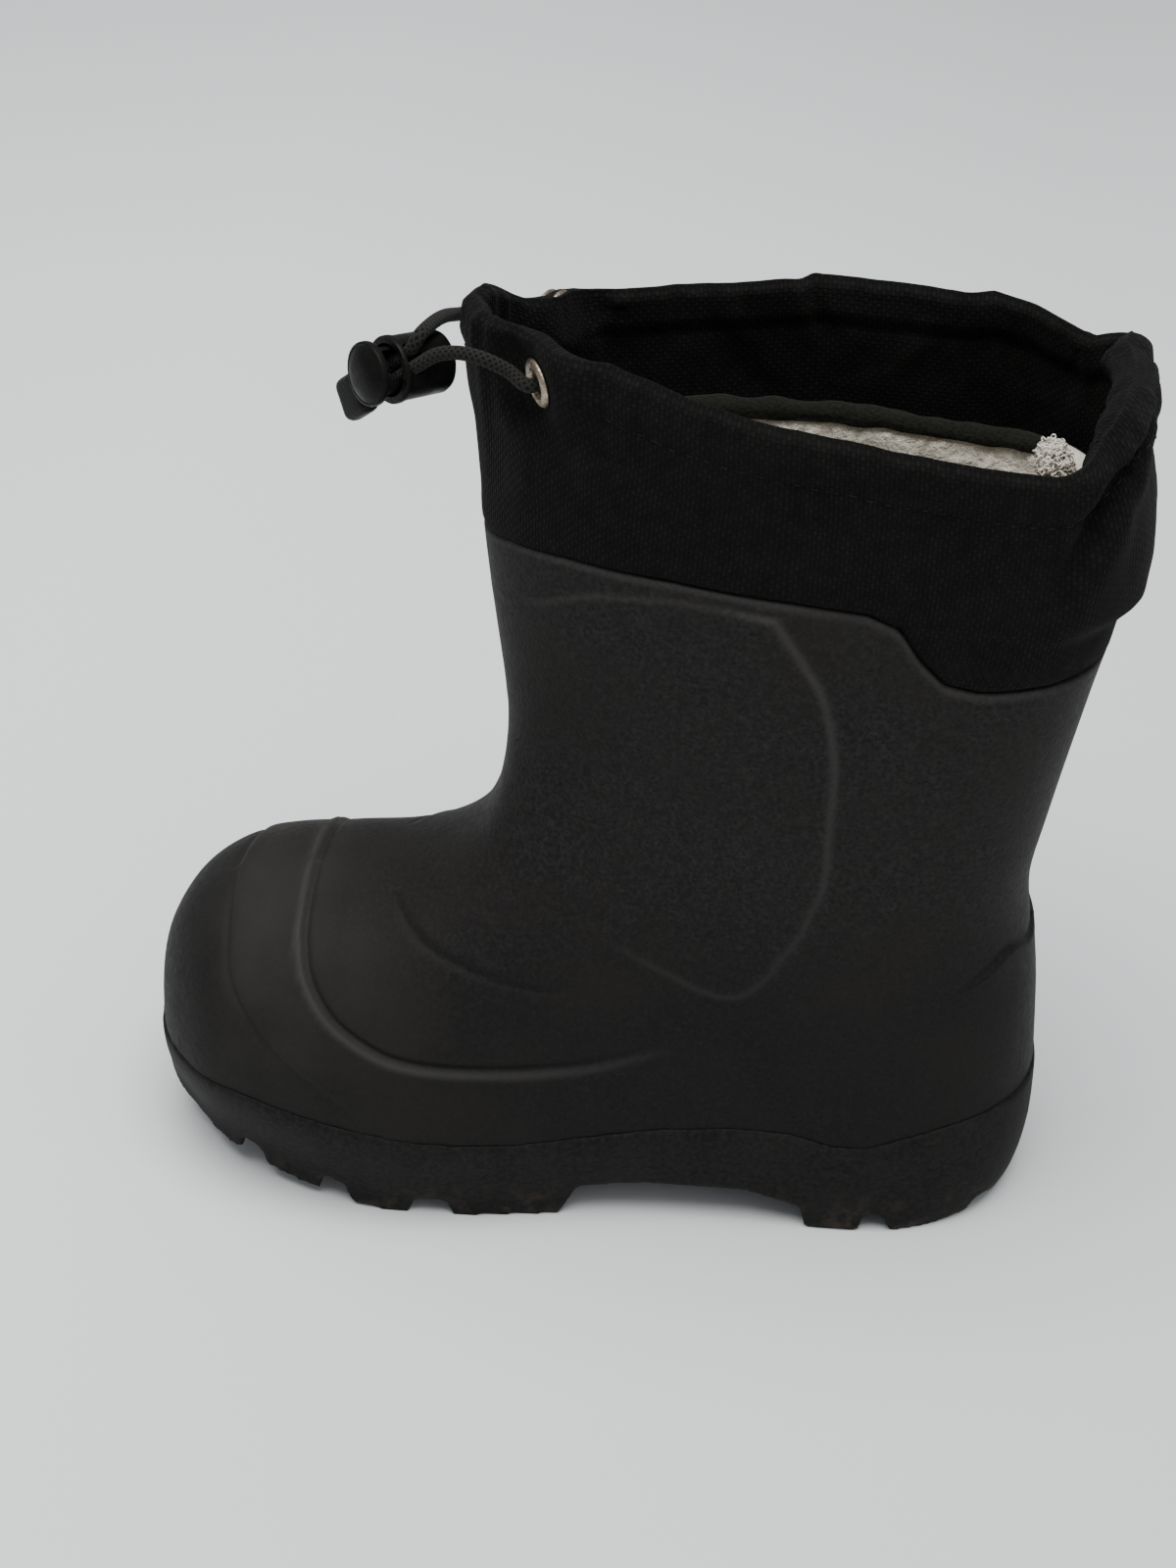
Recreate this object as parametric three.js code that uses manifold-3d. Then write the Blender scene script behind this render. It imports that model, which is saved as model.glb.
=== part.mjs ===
// A child's left snow boot: moulded foam upper and outsole, wool liner, gathered cloth cuff,
// and an elastic drawcord with a spring cord lock. Millimetres, +Z up, toe towards -Y, and the
// outer side of the foot towards +X. The boot stands on the floor at Z = 0.
import * as THREE from "three";
import { mergeVertices } from "three/addons/utils/BufferGeometryUtils.js";
import Module from "manifold-3d";

const wasm = await Module();
wasm.setup();

// Driving sizes.
const FOOT_LENGTH = 197; // heel to toe tip, over the moulded shell
const BALL_WIDTH = 80; // widest place of the shell
const BOOT_HEIGHT = 205; // floor to the peak of the cuff
const CUFF_OVERHANG = 8.9; // how far the cuff leans back past the heel
const SHELL_WALL = 3;
const LINER_WALL = 4;
const CUFF_WALL = 1.8;
const GAP = 0.3; // air between pieces that meet
const SOLE_PROUD = 0.6; // outsole stands out from the upper
const LUG_DEPTH = 4.5;
const CORD = 2.7; // thickness of the drawcord

// The section table below is drawn for these three sizes and stretched to the driving ones.
const DRAWN = { length: 197, width: 80, height: 205 };
const stretch = {
  along: FOOT_LENGTH / DRAWN.length,
  across: BALL_WIDTH / DRAWN.width,
  up: BOOT_HEIGHT / DRAWN.height,
};
const HEEL_Y = (FOOT_LENGTH + SOLE_PROUD - CUFF_OVERHANG) / 2;

// A place on the boot: along the foot from the heel, across to the outer side, and up.
function at(along, across, up) {
  return new THREE.Vector3(across, HEEL_Y - along, up);
}

// ---- The last: one row for each section, from the toe, over the instep, to the top of the cuff.
// A section is a slice through a point of the top line (instep, then front of the shaft) and a
// point of the low line (sole, then back of the heel and shaft), both as [along, up].
// soleOut and soleIn are the half widths at the low line, out and in those at the widest place,
// crown is where that place is (0 low line, 1 top line), and round is the roundness of the top.
// heelOut and heelIn are the roundness of the heel's plan: 2 is round, and more is squarer.
const SECTION_COLUMNS = [
  "topAlong", "topUp", "lowAlong", "lowUp", "soleOut", "soleIn", "out", "in", "crown", "round",
  "heelOut", "heelIn",
];
const SECTION_ROWS = [
  [197.2, 31, 197.2, 29, -7, 7, -7, 7, 0.5, 2, 2.25, 2.25],
  [196.6, 42, 196.3, 17, 3, 16, 4, 17, 0.45, 2, 2.25, 2.25],
  [194.0, 50, 193.5, 11, 8, 22, 13, 25, 0.42, 2.1, 2.25, 2.25],
  [188.5, 58, 188.0, 9, 14, 28, 22, 33, 0.42, 2.2, 2.25, 2.25],
  [180.0, 64, 180.0, 7.5, 22, 32, 30, 37.5, 0.42, 2.3, 2.25, 2.25],
  [168.0, 68, 168.0, 5, 28, 34.5, 35.5, 39.5, 0.4, 2.35, 2.25, 2.25],
  [154.0, 70.5, 154.0, 2.5, 32.5, 35.5, 39, 40, 0.38, 2.35, 2.25, 2.25],
  [141.0, 73, 140.0, 0, 34.5, 35, 40, 39.5, 0.36, 2.3, 2.25, 2.25],
  [130.5, 78, 124.0, 0, 34.5, 33.5, 39.5, 38, 0.34, 2.25, 2.25, 2.25],
  [123.0, 85, 107.0, 0, 32.5, 31, 37.5, 35, 0.32, 2.2, 2.25, 2.25],
  [118.8, 93, 88.0, 0, 30.5, 29, 35, 33, 0.3, 2.15, 2.25, 2.25],
  [117.0, 100, 66.0, 0, 30.5, 30, 33.5, 32.5, 0.3, 2.1, 2.25, 2.25],
  [116.2, 106, 42.0, 0, 31.5, 31.5, 33.2, 32.7, 0.32, 2.1, 2.25, 2.25],
  [115.9, 111, 20.0, 0, 31, 31, 33, 32.5, 0.36, 2.1, 2.25, 2.25],
  [115.9, 115, 6.0, 0.5, 31, 31, 32.8, 32.3, 0.4, 2.1, 2.25, 2.25],
  [116.2, 119, 1.4, 12, 31, 31, 32.5, 32, 0.42, 2.1, 2.25, 2.25],
  [116.5, 123, 0.8, 30, 31, 31, 32.2, 31.7, 0.44, 2.1, 2.25, 2.25],
  [117.0, 128, 2.0, 50, 31, 31, 32, 31.5, 0.45, 2.1, 2.25, 2.25],
  [117.5, 133, 4.6, 67, 31.2, 31, 32, 31.5, 0.46, 2.1, 2.25, 2.25],
  [118.0, 138, 5.6, 81, 31.6, 31.4, 32.2, 31.8, 0.48, 2.1, 2.25, 2.25],
  [118.6, 144, 3.2, 96, 32, 31.8, 32.8, 32.4, 0.5, 2.1, 2.25, 2.25],
  [119.2, 151, 0.2, 112, 32.6, 32.4, 33.5, 33, 0.5, 2.1, 2.3, 2.25],
  [119.8, 158, -3.2, 129, 33.2, 33, 34.2, 33.8, 0.5, 2.05, 2.4, 2.3],
  [120.4, 167, -6.6, 147, 34, 33.6, 35, 34.4, 0.5, 2, 2.6, 2.4],
  [120.9, 180, -8.6, 168, 34.4, 34, 35.4, 34.8, 0.5, 1.9, 3.0, 2.5],
  [121.2, 193, -8.9, 186, 34.4, 34, 35.4, 34.8, 0.5, 1.8, 3.3, 2.5],
  [121.2, 206, -8.0, 202, 34.2, 33.8, 35, 34.6, 0.5, 1.75, 3.3, 2.5],
];
const HEEL_ROUND = { reach: 34, least: 1.2 }; // how far the heel's rounding reaches, and its flat middle
const ROWS = {
  toe: 0,
  heelCornerStart: 12.6,
  heelCornerEnd: 16,
  backStart: 14,
  shaftTop: 23.6,
  cuffLow: 20.2,
  cuffTop: SECTION_ROWS.length - 1,
};

// Smooth curve through a column of numbers, by uniform Catmull-Rom.
function through(numbers, place) {
  const last = numbers.length - 1;
  const i = Math.min(Math.max(Math.floor(place), 0), last - 1);
  const t = place - i;
  const b = numbers[i];
  const c = numbers[i + 1];
  const a = i > 0 ? numbers[i - 1] : 2 * b - c;
  const d = i + 2 <= last ? numbers[i + 2] : 2 * c - b;
  const squared = (2 * a - 5 * b + 4 * c - d) * t ** 2;
  const cubed = (3 * b - a - 3 * c + d) * t ** 3;
  return 0.5 * (2 * b + (c - a) * t + squared + cubed);
}

function column(name, factor) {
  const index = SECTION_COLUMNS.indexOf(name);
  return SECTION_ROWS.map((row) => row[index] * factor);
}
const COLUMN_FACTOR = {
  topAlong: stretch.along, topUp: stretch.up, lowAlong: stretch.along, lowUp: stretch.up,
  soleOut: stretch.across, soleIn: stretch.across, out: stretch.across, in: stretch.across,
  crown: 1, round: 1, heelOut: 1, heelIn: 1,
};
const COLUMNS = Object.fromEntries(
  SECTION_COLUMNS.map((name) => [name, column(name, COLUMN_FACTOR[name])]),
);

function sectionAt(place) {
  return Object.fromEntries(SECTION_COLUMNS.map((name) => [name, through(COLUMNS[name], place)]));
}

// Straight-line reading of a short table of [along, up] points.
function heightOf(line, along) {
  const next = line.findIndex((point) => point[0] >= along);
  if (next === 0) return line[0][1];
  if (next < 0) return line[line.length - 1][1];
  const [fromAlong, fromUp] = line[next - 1];
  const [toAlong, toUp] = line[next];
  return fromUp + ((toUp - fromUp) * (along - fromAlong)) / (toAlong - fromAlong);
}

// Back of the heel and shaft at a height, read from the low line past the heel's corner.
const BACK_LINE = [];
for (let place = ROWS.backStart; place <= ROWS.cuffTop; place += 0.25) {
  const s = sectionAt(place);
  BACK_LINE.push([s.lowUp, s.lowAlong]);
}

const clamp = (value, low, high) => Math.min(Math.max(value, low), high);
const smooth = (value) => value * value * (3 - 2 * value);

// Inner floor of the boot, from heel to toe, as [along, up].
const FOOTBED = [[0, 20], [45, 20], [80, 17], [112, 12.5], [140, 12.5], [168, 16], [185, 20.5], [200, 24]];
const HEEL_CUP = 7; // the floor's edge curls up this much around the heel

// One ring of the boot's surface, moved inwards by inset(along, up), with its floor raised by
// floorRise where it isn't null. Points run from the top line down the outer side to the low
// line and back up the inner side.
function ring(place, inset, floorRise, pointsPerSide) {
  const s = sectionAt(place);
  const step = 0.02;
  const before = sectionAt(Math.max(place - step, 0));
  const after = sectionAt(Math.min(place + step, ROWS.cuffTop));
  const wayOf = (along, up) =>
    new THREE.Vector2(after[along] - before[along], after[up] - before[up]).normalize();
  const topWay = wayOf("topAlong", "topUp");
  const lowWay = wayOf("lowAlong", "lowUp");
  const topInset = inset(s.topAlong, s.topUp);
  const lowInset = inset(s.lowAlong, s.lowUp);
  const top = [s.topAlong - topWay.y * topInset, s.topUp + topWay.x * topInset];
  const low = [s.lowAlong + lowWay.y * lowInset, s.lowUp - lowWay.x * lowInset];
  if (floorRise !== null) {
    const corner = (place - ROWS.heelCornerStart) / (ROWS.heelCornerEnd - ROWS.heelCornerStart);
    const floor = heightOf(FOOTBED, low[0]) + floorRise + HEEL_CUP * clamp(corner, 0, 1);
    low[1] = Math.max(low[1], floor);
  }
  const middle = (s.out - s.in) / 2;
  const halfSide = (s.out + s.in) / 2;
  const halfSole = (s.soleOut + s.soleIn) / 2;
  const soleMiddle = (s.soleOut - s.soleIn) / 2;
  const chord = [top[0] - low[0], top[1] - low[1]];
  const outer = [];
  const inner = [];
  for (let i = 0; i <= pointsPerSide; i += 1) {
    const turn = (i / pointsPerSide) * Math.PI;
    const upper = turn < Math.PI / 2;
    const share = upper
      ? s.crown + (1 - s.crown) * Math.cos(turn) ** (2 / s.round)
      : s.crown * (1 - Math.sin(turn - Math.PI / 2));
    const along = low[0] + chord[0] * share;
    const up = low[1] + chord[1] * share;
    const blend = smooth(clamp(share / s.crown, 0, 1));
    const dome = upper ? Math.sin(turn) ** (2 / s.round) : 1;
    const side = halfSole + (halfSide - halfSole) * blend;
    const wall = inset(along, up);
    const back = heightOf(BACK_LINE, up) + wall;
    const reach = HEEL_ROUND.reach - wall;
    const near = clamp((along - back) / reach, 0, 1);
    const halfAt = (power) => {
      const heel = (1 - (1 - near) ** power) ** (1 / power);
      return Math.max((side - wall) * heel, upper ? 0 : HEEL_ROUND.least) * dome;
    };
    const centre = soleMiddle + (middle - soleMiddle) * blend;
    outer.push(at(along, centre + halfAt(s.heelOut), up));
    inner.push(at(along, centre - halfAt(s.heelIn), up));
  }
  const lowPoint = at(low[0], soleMiddle, low[1]);
  return [...outer, lowPoint, ...inner.slice(1).reverse()];
}

// A closed solid through rings from one place of the last to another. A solid that starts at the
// toe closes there on a point; any other end closes on a flat-ish cap.
function lastSolid({ from, to, rings, inset, floorRise = null, pointsPerSide = 12 }) {
  const all = [];
  for (let i = 0; i <= rings; i += 1) {
    const share = i / rings;
    if (from === ROWS.toe && i === 0) continue;
    all.push(ring(from + (to - from) * share, inset, floorRise, pointsPerSide));
  }
  const count = all[0].length;
  const points = all.flat();
  const centreOf = (points) =>
    points.reduce((sum, p) => sum.add(p), new THREE.Vector3()).divideScalar(points.length);
  let first = centreOf(all[0]);
  if (from === ROWS.toe) {
    const tip = sectionAt(0);
    first = at(tip.topAlong - inset(tip.topAlong, tip.topUp), (tip.out - tip.in) / 2, first.z);
  }
  points.push(first, centreOf(all[all.length - 1]));
  const faces = [];
  for (let r = 0; r + 1 < all.length; r += 1) {
    for (let i = 0; i < count; i += 1) {
      const a = r * count + i;
      const b = r * count + ((i + 1) % count);
      faces.push(a, b, b + count, a, b + count, a + count);
    }
  }
  const lastRing = (all.length - 1) * count;
  for (let i = 0; i < count; i += 1) {
    const next = (i + 1) % count;
    faces.push(points.length - 2, next, i);
    faces.push(points.length - 1, lastRing + i, lastRing + next);
  }
  const geometry = new THREE.BufferGeometry().setFromPoints(points);
  geometry.setIndex(faces);
  return solid(geometry);
}

// ---- Solids and cuts.
const WELD = 1e-4; // points closer than this are one
function manifoldOf(points, corners) {
  return new wasm.Manifold(
    new wasm.Mesh({ numProp: 3, vertProperties: new Float32Array(points), triVerts: corners }),
  );
}

// A geometry as a solid; one that comes out inside out is turned the right way.
function solid(geometry) {
  const bare = geometry.index ? geometry.toNonIndexed() : geometry.clone();
  bare.deleteAttribute("normal");
  bare.deleteAttribute("uv");
  const merged = mergeVertices(bare, WELD);
  const corners = new Uint32Array(merged.index.array);
  const made = manifoldOf(merged.attributes.position.array, corners);
  if (made.volume() >= 0) return made;
  for (let i = 0; i < corners.length; i += 3) {
    [corners[i + 1], corners[i + 2]] = [corners[i + 2], corners[i + 1]];
  }
  return manifoldOf(merged.attributes.position.array, corners);
}

function geometryOf(made) {
  const mesh = made.getMesh();
  const geometry = new THREE.BufferGeometry();
  geometry.setAttribute("position", new THREE.BufferAttribute(new Float32Array(mesh.vertProperties), 3));
  geometry.setIndex(new THREE.BufferAttribute(new Uint32Array(mesh.triVerts), 1));
  geometry.computeVertexNormals();
  return geometry;
}

// A side-view outline of [along, up] points, extruded right across the boot.
const HALF_SPAN = 60;
function acrossPrism(outline, from = -HALF_SPAN, to = HALF_SPAN) {
  const shape = new THREE.Shape(outline.map(([along, up]) => new THREE.Vector2(HEEL_Y - along, up)));
  const prism = new THREE.ExtrudeGeometry(shape, { depth: to - from, bevelEnabled: false });
  const basis = new THREE.Matrix4().makeBasis(
    new THREE.Vector3(0, 1, 0),
    new THREE.Vector3(0, 0, 1),
    new THREE.Vector3(1, 0, 0),
  );
  prism.applyMatrix4(basis);
  prism.translate(from, 0, 0);
  return solid(prism);
}

const FAR = 400;
// Everything under, or over, a line in side view, with the line moved up by shift.
function below(line, shift = 0, from = -HALF_SPAN, to = HALF_SPAN) {
  const moved = line.map(([along, up]) => [along, up + shift]);
  const end = moved[moved.length - 1][1];
  return acrossPrism([[-FAR, -FAR], [-FAR, moved[0][1]], ...moved, [FAR, end], [FAR, -FAR]], from, to);
}

function above(line, shift = 0) {
  const moved = line.map(([along, up]) => [along, up + shift]);
  const end = moved[moved.length - 1][1];
  return acrossPrism([[-FAR, FAR], [-FAR, moved[0][1]], ...moved, [FAR, end], [FAR, FAR]]);
}

// ---- Lines of the boot in side view, from heel to toe, as [along, up].
const JOINT_LINE = [
  [-20, 29], [4, 30], [20, 29.5], [30, 27], [37, 24.2], [44, 24.4], [54, 27.6], [66, 28.4], [82, 27],
  [96, 24.8], [112, 23.4], [126, 23.6], [138, 25], [150, 27], [162, 29], [174, 30.5], [188, 30], [205, 28],
];
const COLLAR_LINE = [
  [-20, 139], [4, 138.6], [21, 138.8], [28, 140.6], [33, 146], [37, 152.6], [43, 155.4], [58, 157.4],
  [80, 159.6], [100, 160], [112, 159], [120, 156.5], [135, 156],
];
const RIM_LINES = {
  outer: [
    [-20, 196], [-8, 196.5], [-4, 194], [0, 188], [4, 185], [10, 184.5], [25, 187.5], [40, 191],
    [62, 195.5], [78, 199], [92, 202.5], [104, 205], [112, 204.5], [119, 203], [135, 203],
  ],
  inner: [
    [-20, 196], [-8, 196.5], [-2, 193], [12, 192], [27, 192.4], [57, 194], [82, 193.5], [100, 195.3],
    [110, 194.8], [114, 196], [118, 201], [120, 203], [135, 203],
  ],
};
const LINER_TOP = 171;

// ---- Upper: the foam shell, hollow, open at the collar and underneath.
const hugging = (distance) => () => distance;
const OUTSIDE = { from: ROWS.toe, to: ROWS.shaftTop, rings: 35 };
const INSIDE = { from: ROWS.toe, to: ROWS.cuffTop, rings: 26 };
const footInner = lastSolid({ ...INSIDE, inset: hugging(SHELL_WALL), floorRise: 0 });
const upper = lastSolid({ ...OUTSIDE, inset: hugging(0) })
  .intersect(above(JOINT_LINE, GAP / 2))
  .intersect(below(COLLAR_LINE))
  .subtract(footInner);

// ---- Outsole: a foam tray with the footbed inside, an arch, and lugs underneath.
// Each row is a groove or recess across the sole: from and to along the foot, and its height
// above the sole's lowest points at each end.
const UNDERSIDE_ROWS = [
  { from: 8.5, to: 13.5, up: LUG_DEPTH },
  { from: 31, to: 37.5, up: LUG_DEPTH },
  { from: 127, to: 136.5, up: LUG_DEPTH },
  { from: 150, to: 157, up: LUG_DEPTH },
  { from: 170, to: 176, up: LUG_DEPTH },
];
// The sole's low line as [along, up], for the grooves to follow the rise towards the toe.
const SOLE_LINE = [];
for (let place = ROWS.backStart; place > 0.9; place -= 0.25) {
  const s = sectionAt(place);
  SOLE_LINE.push([s.lowAlong, s.lowUp]);
}
const UNDER = 8; // cuts under the sole start this far below it
const GROOVE_SLOPE = 1.2;
function groove({ from, to, up }) {
  const floorFrom = heightOf(SOLE_LINE, from);
  const floorTo = heightOf(SOLE_LINE, to);
  return acrossPrism([
    [from, floorFrom - UNDER],
    [from, floorFrom],
    [from + GROOVE_SLOPE, floorFrom + up],
    [to - GROOVE_SLOPE, floorTo + up],
    [to, floorTo],
    [to, floorTo - UNDER],
  ]);
}
// A lengthwise channel down the middle of the forefoot and heel lugs.
const CHANNELS = [
  { from: 14, to: 50 },
  { from: 104, to: 182 },
];
const CHANNEL = { half: 4.5, depth: 3.6, steps: 8 };
function channel({ from, to }) {
  const roof = [];
  for (let i = 0; i <= CHANNEL.steps; i += 1) {
    const along = from + ((to - from) * i) / CHANNEL.steps;
    roof.push([along, heightOf(SOLE_LINE, along) + CHANNEL.depth]);
  }
  return acrossPrism([[from, -UNDER], ...roof, [to, -UNDER]], -CHANNEL.half, CHANNEL.half);
}
let outsole = lastSolid({ ...OUTSIDE, inset: hugging(-SOLE_PROUD) })
  .intersect(below(JOINT_LINE, -GAP / 2))
  .subtract(footInner);
const ARCH = [
  [49, -UNDER], [49.2, 0], [50.5, 5.8], [62, 9.4], [88, 10], [99, 8.4], [103.5, 0], [104, -UNDER],
];
outsole = outsole.subtract(acrossPrism(ARCH));
for (const row of UNDERSIDE_ROWS) outsole = outsole.subtract(groove(row));
for (const row of CHANNELS) outsole = outsole.subtract(channel(row));
outsole = outsole.intersect(above([[-FAR / 2, 0], [FAR / 2, 0]]));

// ---- Cuff: a cloth tube, tucked inside the shell's collar and gathered along its rim.
const TUCK = 9; // the cloth goes this far down inside the collar
const CUFF_TUCKED = SHELL_WALL + GAP;
const CUFF_SWELL = { start: 2, length: 6 }; // distance over the collar where the cloth comes out
function distanceToCollar(along, up) {
  let least = Infinity;
  for (let i = 0; i + 1 < COLLAR_LINE.length; i += 1) {
    const from = new THREE.Vector2(...COLLAR_LINE[i]);
    const way = new THREE.Vector2(...COLLAR_LINE[i + 1]).sub(from);
    const offset = new THREE.Vector2(along, up).sub(from);
    const share = clamp(offset.dot(way) / way.lengthSq(), 0, 1);
    least = Math.min(least, offset.addScaledVector(way, -share).length());
  }
  return up >= heightOf(COLLAR_LINE, along) ? least : -least;
}
function cuffInset(along, up) {
  const risen = clamp((distanceToCollar(along, up) - CUFF_SWELL.start) / CUFF_SWELL.length, 0, 1);
  return CUFF_TUCKED * (1 - smooth(risen));
}
const CUFF_RINGS = 10;
const cuffBody = lastSolid({ from: ROWS.cuffLow, to: ROWS.cuffTop, rings: CUFF_RINGS, inset: cuffInset });
function insideCuff(clear) {
  return lastSolid({
    from: ROWS.cuffLow - 0.5,
    to: ROWS.cuffTop,
    rings: CUFF_RINGS,
    inset: (along, up) => cuffInset(along, up) + CUFF_WALL + clear,
  });
}
const shellRoom = lastSolid({ ...OUTSIDE, inset: hugging(-GAP) })
  .intersect(below(COLLAR_LINE, GAP))
  .subtract(lastSolid({ ...INSIDE, inset: hugging(CUFF_TUCKED), floorRise: 0 }));
const cuffTube = cuffBody
  .intersect(above(COLLAR_LINE, -TUCK))
  .intersect(below(RIM_LINES.outer, 0, 0, HALF_SPAN).add(below(RIM_LINES.inner, 0, -HALF_SPAN, 0)))
  .subtract(insideCuff(0))
  .subtract(shellRoom);

// ---- Liner: a wool bootie inside the shell and the lower half of the cuff.
const LINER_CLEAR = SHELL_WALL + GAP;
const LINER_CLEAR_CUFF = CUFF_TUCKED + CUFF_WALL + GAP;
const LINER_STEP = { under: 12, length: 9 }; // it steps in for the cuff, this far under the cloth's end
function linerInset(along, up) {
  const over = up - (heightOf(COLLAR_LINE, along) - TUCK - LINER_STEP.under);
  const risen = clamp(over / LINER_STEP.length, 0, 1);
  return LINER_CLEAR + (LINER_CLEAR_CUFF - LINER_CLEAR) * smooth(risen);
}
const linerBody = lastSolid({ ...INSIDE, inset: linerInset, floorRise: GAP });
const linerSpace = lastSolid({
  ...INSIDE,
  inset: (along, up) => linerInset(along, up) + LINER_WALL,
  floorRise: GAP + LINER_WALL,
  pointsPerSide: 10,
});
const liner = linerBody
  .intersect(below(COLLAR_LINE, -TUCK - GAP).add(insideCuff(GAP)))
  .intersect(below([[-FAR / 2, LINER_TOP], [FAR / 2, LINER_TOP]]))
  .subtract(linerSpace);

// ---- Eyelets: two pressed metal rings through the front corners of the cuff's channel.
// pull is how far the cord turns the ring forwards out of the cloth, and tilt how far downwards;
// stand is how far each flange stands off the cloth.
const EYELET = { outer: 4.8, bore: 2.6, wall: 0.6, flange: 0.5, stand: 0.5, pull: 0.9, tilt: 0.25 };
const EYELET_HALF = CUFF_WALL / 2 + EYELET.stand;
const EYELET_PLACES = [
  { name: "eyelet_outer", side: 1, along: 105.3, up: 194.4 },
  { name: "eyelet_inner", side: -1, along: 107.6, up: 191 },
];
const FINE_POINTS = 120;
function cuffFrontPoint({ side, along, up }) {
  let best = null;
  for (let place = ROWS.cuffTop - 3; place <= ROWS.cuffTop; place += 0.02) {
    for (const p of ring(place, cuffInset, null, FINE_POINTS)) {
      if (Math.sign(p.x) !== side) continue;
      const miss = Math.hypot(HEEL_Y - p.y - along, p.z - up);
      if (!best || miss < best.miss) best = { miss, point: p };
    }
  }
  return best.point;
}
// Unit outward normal of the cuff at a point, from three nearby points of its outline.
function cuffNormal(point) {
  const near = ring(ROWS.cuffTop - 1, cuffInset, null, FINE_POINTS / 2)
    .map((p) => ({ p, d: Math.hypot(p.x - point.x, p.y - point.y) }))
    .filter(({ p }) => Math.sign(p.x) === Math.sign(point.x))
    .sort((a, b) => a.d - b.d);
  const way = new THREE.Vector3().subVectors(near[0].p, near[3].p).setZ(0).normalize();
  const normal = new THREE.Vector3(way.y, -way.x, 0);
  if (normal.x * Math.sign(point.x) < 0) normal.negate();
  return normal.add(new THREE.Vector3(0, -EYELET.pull, -EYELET.tilt)).normalize();
}
const EYELET_SIDES = 18;
function placed(geometry, point, axis) {
  const turn = new THREE.Quaternion().setFromUnitVectors(new THREE.Vector3(0, 1, 0), axis);
  geometry.applyMatrix4(new THREE.Matrix4().compose(point, turn, new THREE.Vector3(1, 1, 1)));
  return solid(geometry);
}
function eyeletSolid(centre, normal) {
  const { outer, bore, wall, flange } = EYELET;
  const profile = [
    [bore, -EYELET_HALF - flange], [outer, -EYELET_HALF - flange], [outer, -EYELET_HALF],
    [bore + wall, -EYELET_HALF], [bore + wall, EYELET_HALF], [outer, EYELET_HALF],
    [outer, EYELET_HALF + flange], [bore, EYELET_HALF + flange], [bore, -EYELET_HALF - flange],
  ];
  const points = profile.map(([r, h]) => new THREE.Vector2(r, h));
  return placed(new THREE.LatheGeometry(points, EYELET_SIDES), centre, normal);
}
// The hole in the cloth, and flat seats for the two flanges where the cloth curves.
const SEAT = 2.6;
function eyeletRoom(centre, normal) {
  const hole = EYELET.bore + EYELET.wall + GAP;
  const seat = EYELET.outer + GAP;
  let room = placed(new THREE.CylinderGeometry(hole, hole, 4 * SEAT, EYELET_SIDES), centre, normal);
  for (const side of [-1, 1]) {
    const disc = new THREE.CylinderGeometry(seat, seat, SEAT, EYELET_SIDES);
    const middle = side * (EYELET_HALF - GAP / 2 + SEAT / 2);
    room = room.add(placed(disc, centre.clone().addScaledVector(normal, middle), normal));
  }
  return room;
}

const eyelets = {};
let cuff = cuffTube;
for (const spot of EYELET_PLACES) {
  const point = cuffFrontPoint(spot);
  const normal = cuffNormal(point);
  const centre = point.clone().addScaledVector(normal, -CUFF_WALL / 2);
  eyelets[spot.name] = { point, normal, made: eyeletSolid(centre, normal) };
  cuff = cuff.subtract(eyeletRoom(centre, normal));
}

// ---- Cord lock: a barrel with a cross slot, and a sprung button whose stem has a longer slot.
const LOCK = {
  centre: at(131.9, 12.6, 192.6),
  axis: new THREE.Vector3(0.695, -0.711, 0.104).normalize(), // out of the barrel, through the button
  radius: 6.2,
  backLength: 8.6,
  frontLength: 4,
  bore: 4.9,
  stem: 4.5,
  slotAt: 1.5,
  slotAlong: 3.6,
  slotAcross: 6.2,
  bottom: 1.6, // thickness of the barrel's closed end
  spring: 0.6, // room left under the stem when the button is home
  travel: 3.2,
};
const towardEntry = new THREE.Vector3(0.532, 0.606, 0.591);
const lockEntry = towardEntry.clone().addScaledVector(LOCK.axis, -towardEntry.dot(LOCK.axis)).normalize();
const lockBasis = new THREE.Matrix4().makeBasis(
  new THREE.Vector3().crossVectors(LOCK.axis, lockEntry),
  LOCK.axis,
  lockEntry,
);
function inLock(geometry) {
  geometry.applyMatrix4(lockBasis);
  geometry.translate(LOCK.centre.x, LOCK.centre.y, LOCK.centre.z);
  return solid(geometry);
}
function lockPlace(across, axial, entry) {
  return new THREE.Vector3(across, axial, entry).applyMatrix4(lockBasis).add(LOCK.centre);
}
const LOCK_SIDES = 22;
function lathed(points) {
  return inLock(new THREE.LatheGeometry(points.map(([r, h]) => new THREE.Vector2(r, h)), LOCK_SIDES));
}
const barrelEnd = -LOCK.backLength;
const barrelRim = LOCK.frontLength;
const lockBarrel = lathed([
  [0, barrelEnd], [LOCK.radius - 2.2, barrelEnd], [LOCK.radius - 0.8, barrelEnd + 0.5],
  [LOCK.radius, barrelEnd + 1.8], [LOCK.radius, barrelRim - 1.6], [LOCK.radius + 0.25, barrelRim - 1.2],
  [LOCK.radius + 0.25, barrelRim], [LOCK.bore, barrelRim], [LOCK.bore, barrelEnd + LOCK.bottom],
  [0, barrelEnd + LOCK.bottom],
]).subtract(
  inLock(
    new THREE.BoxGeometry(LOCK.slotAcross, LOCK.slotAlong, 4 * LOCK.radius).translate(0, LOCK.slotAt, 0),
  ),
);
const stemEnd = barrelEnd + LOCK.bottom + LOCK.travel + LOCK.spring;
const capStart = barrelRim + LOCK.travel + GAP;
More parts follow.
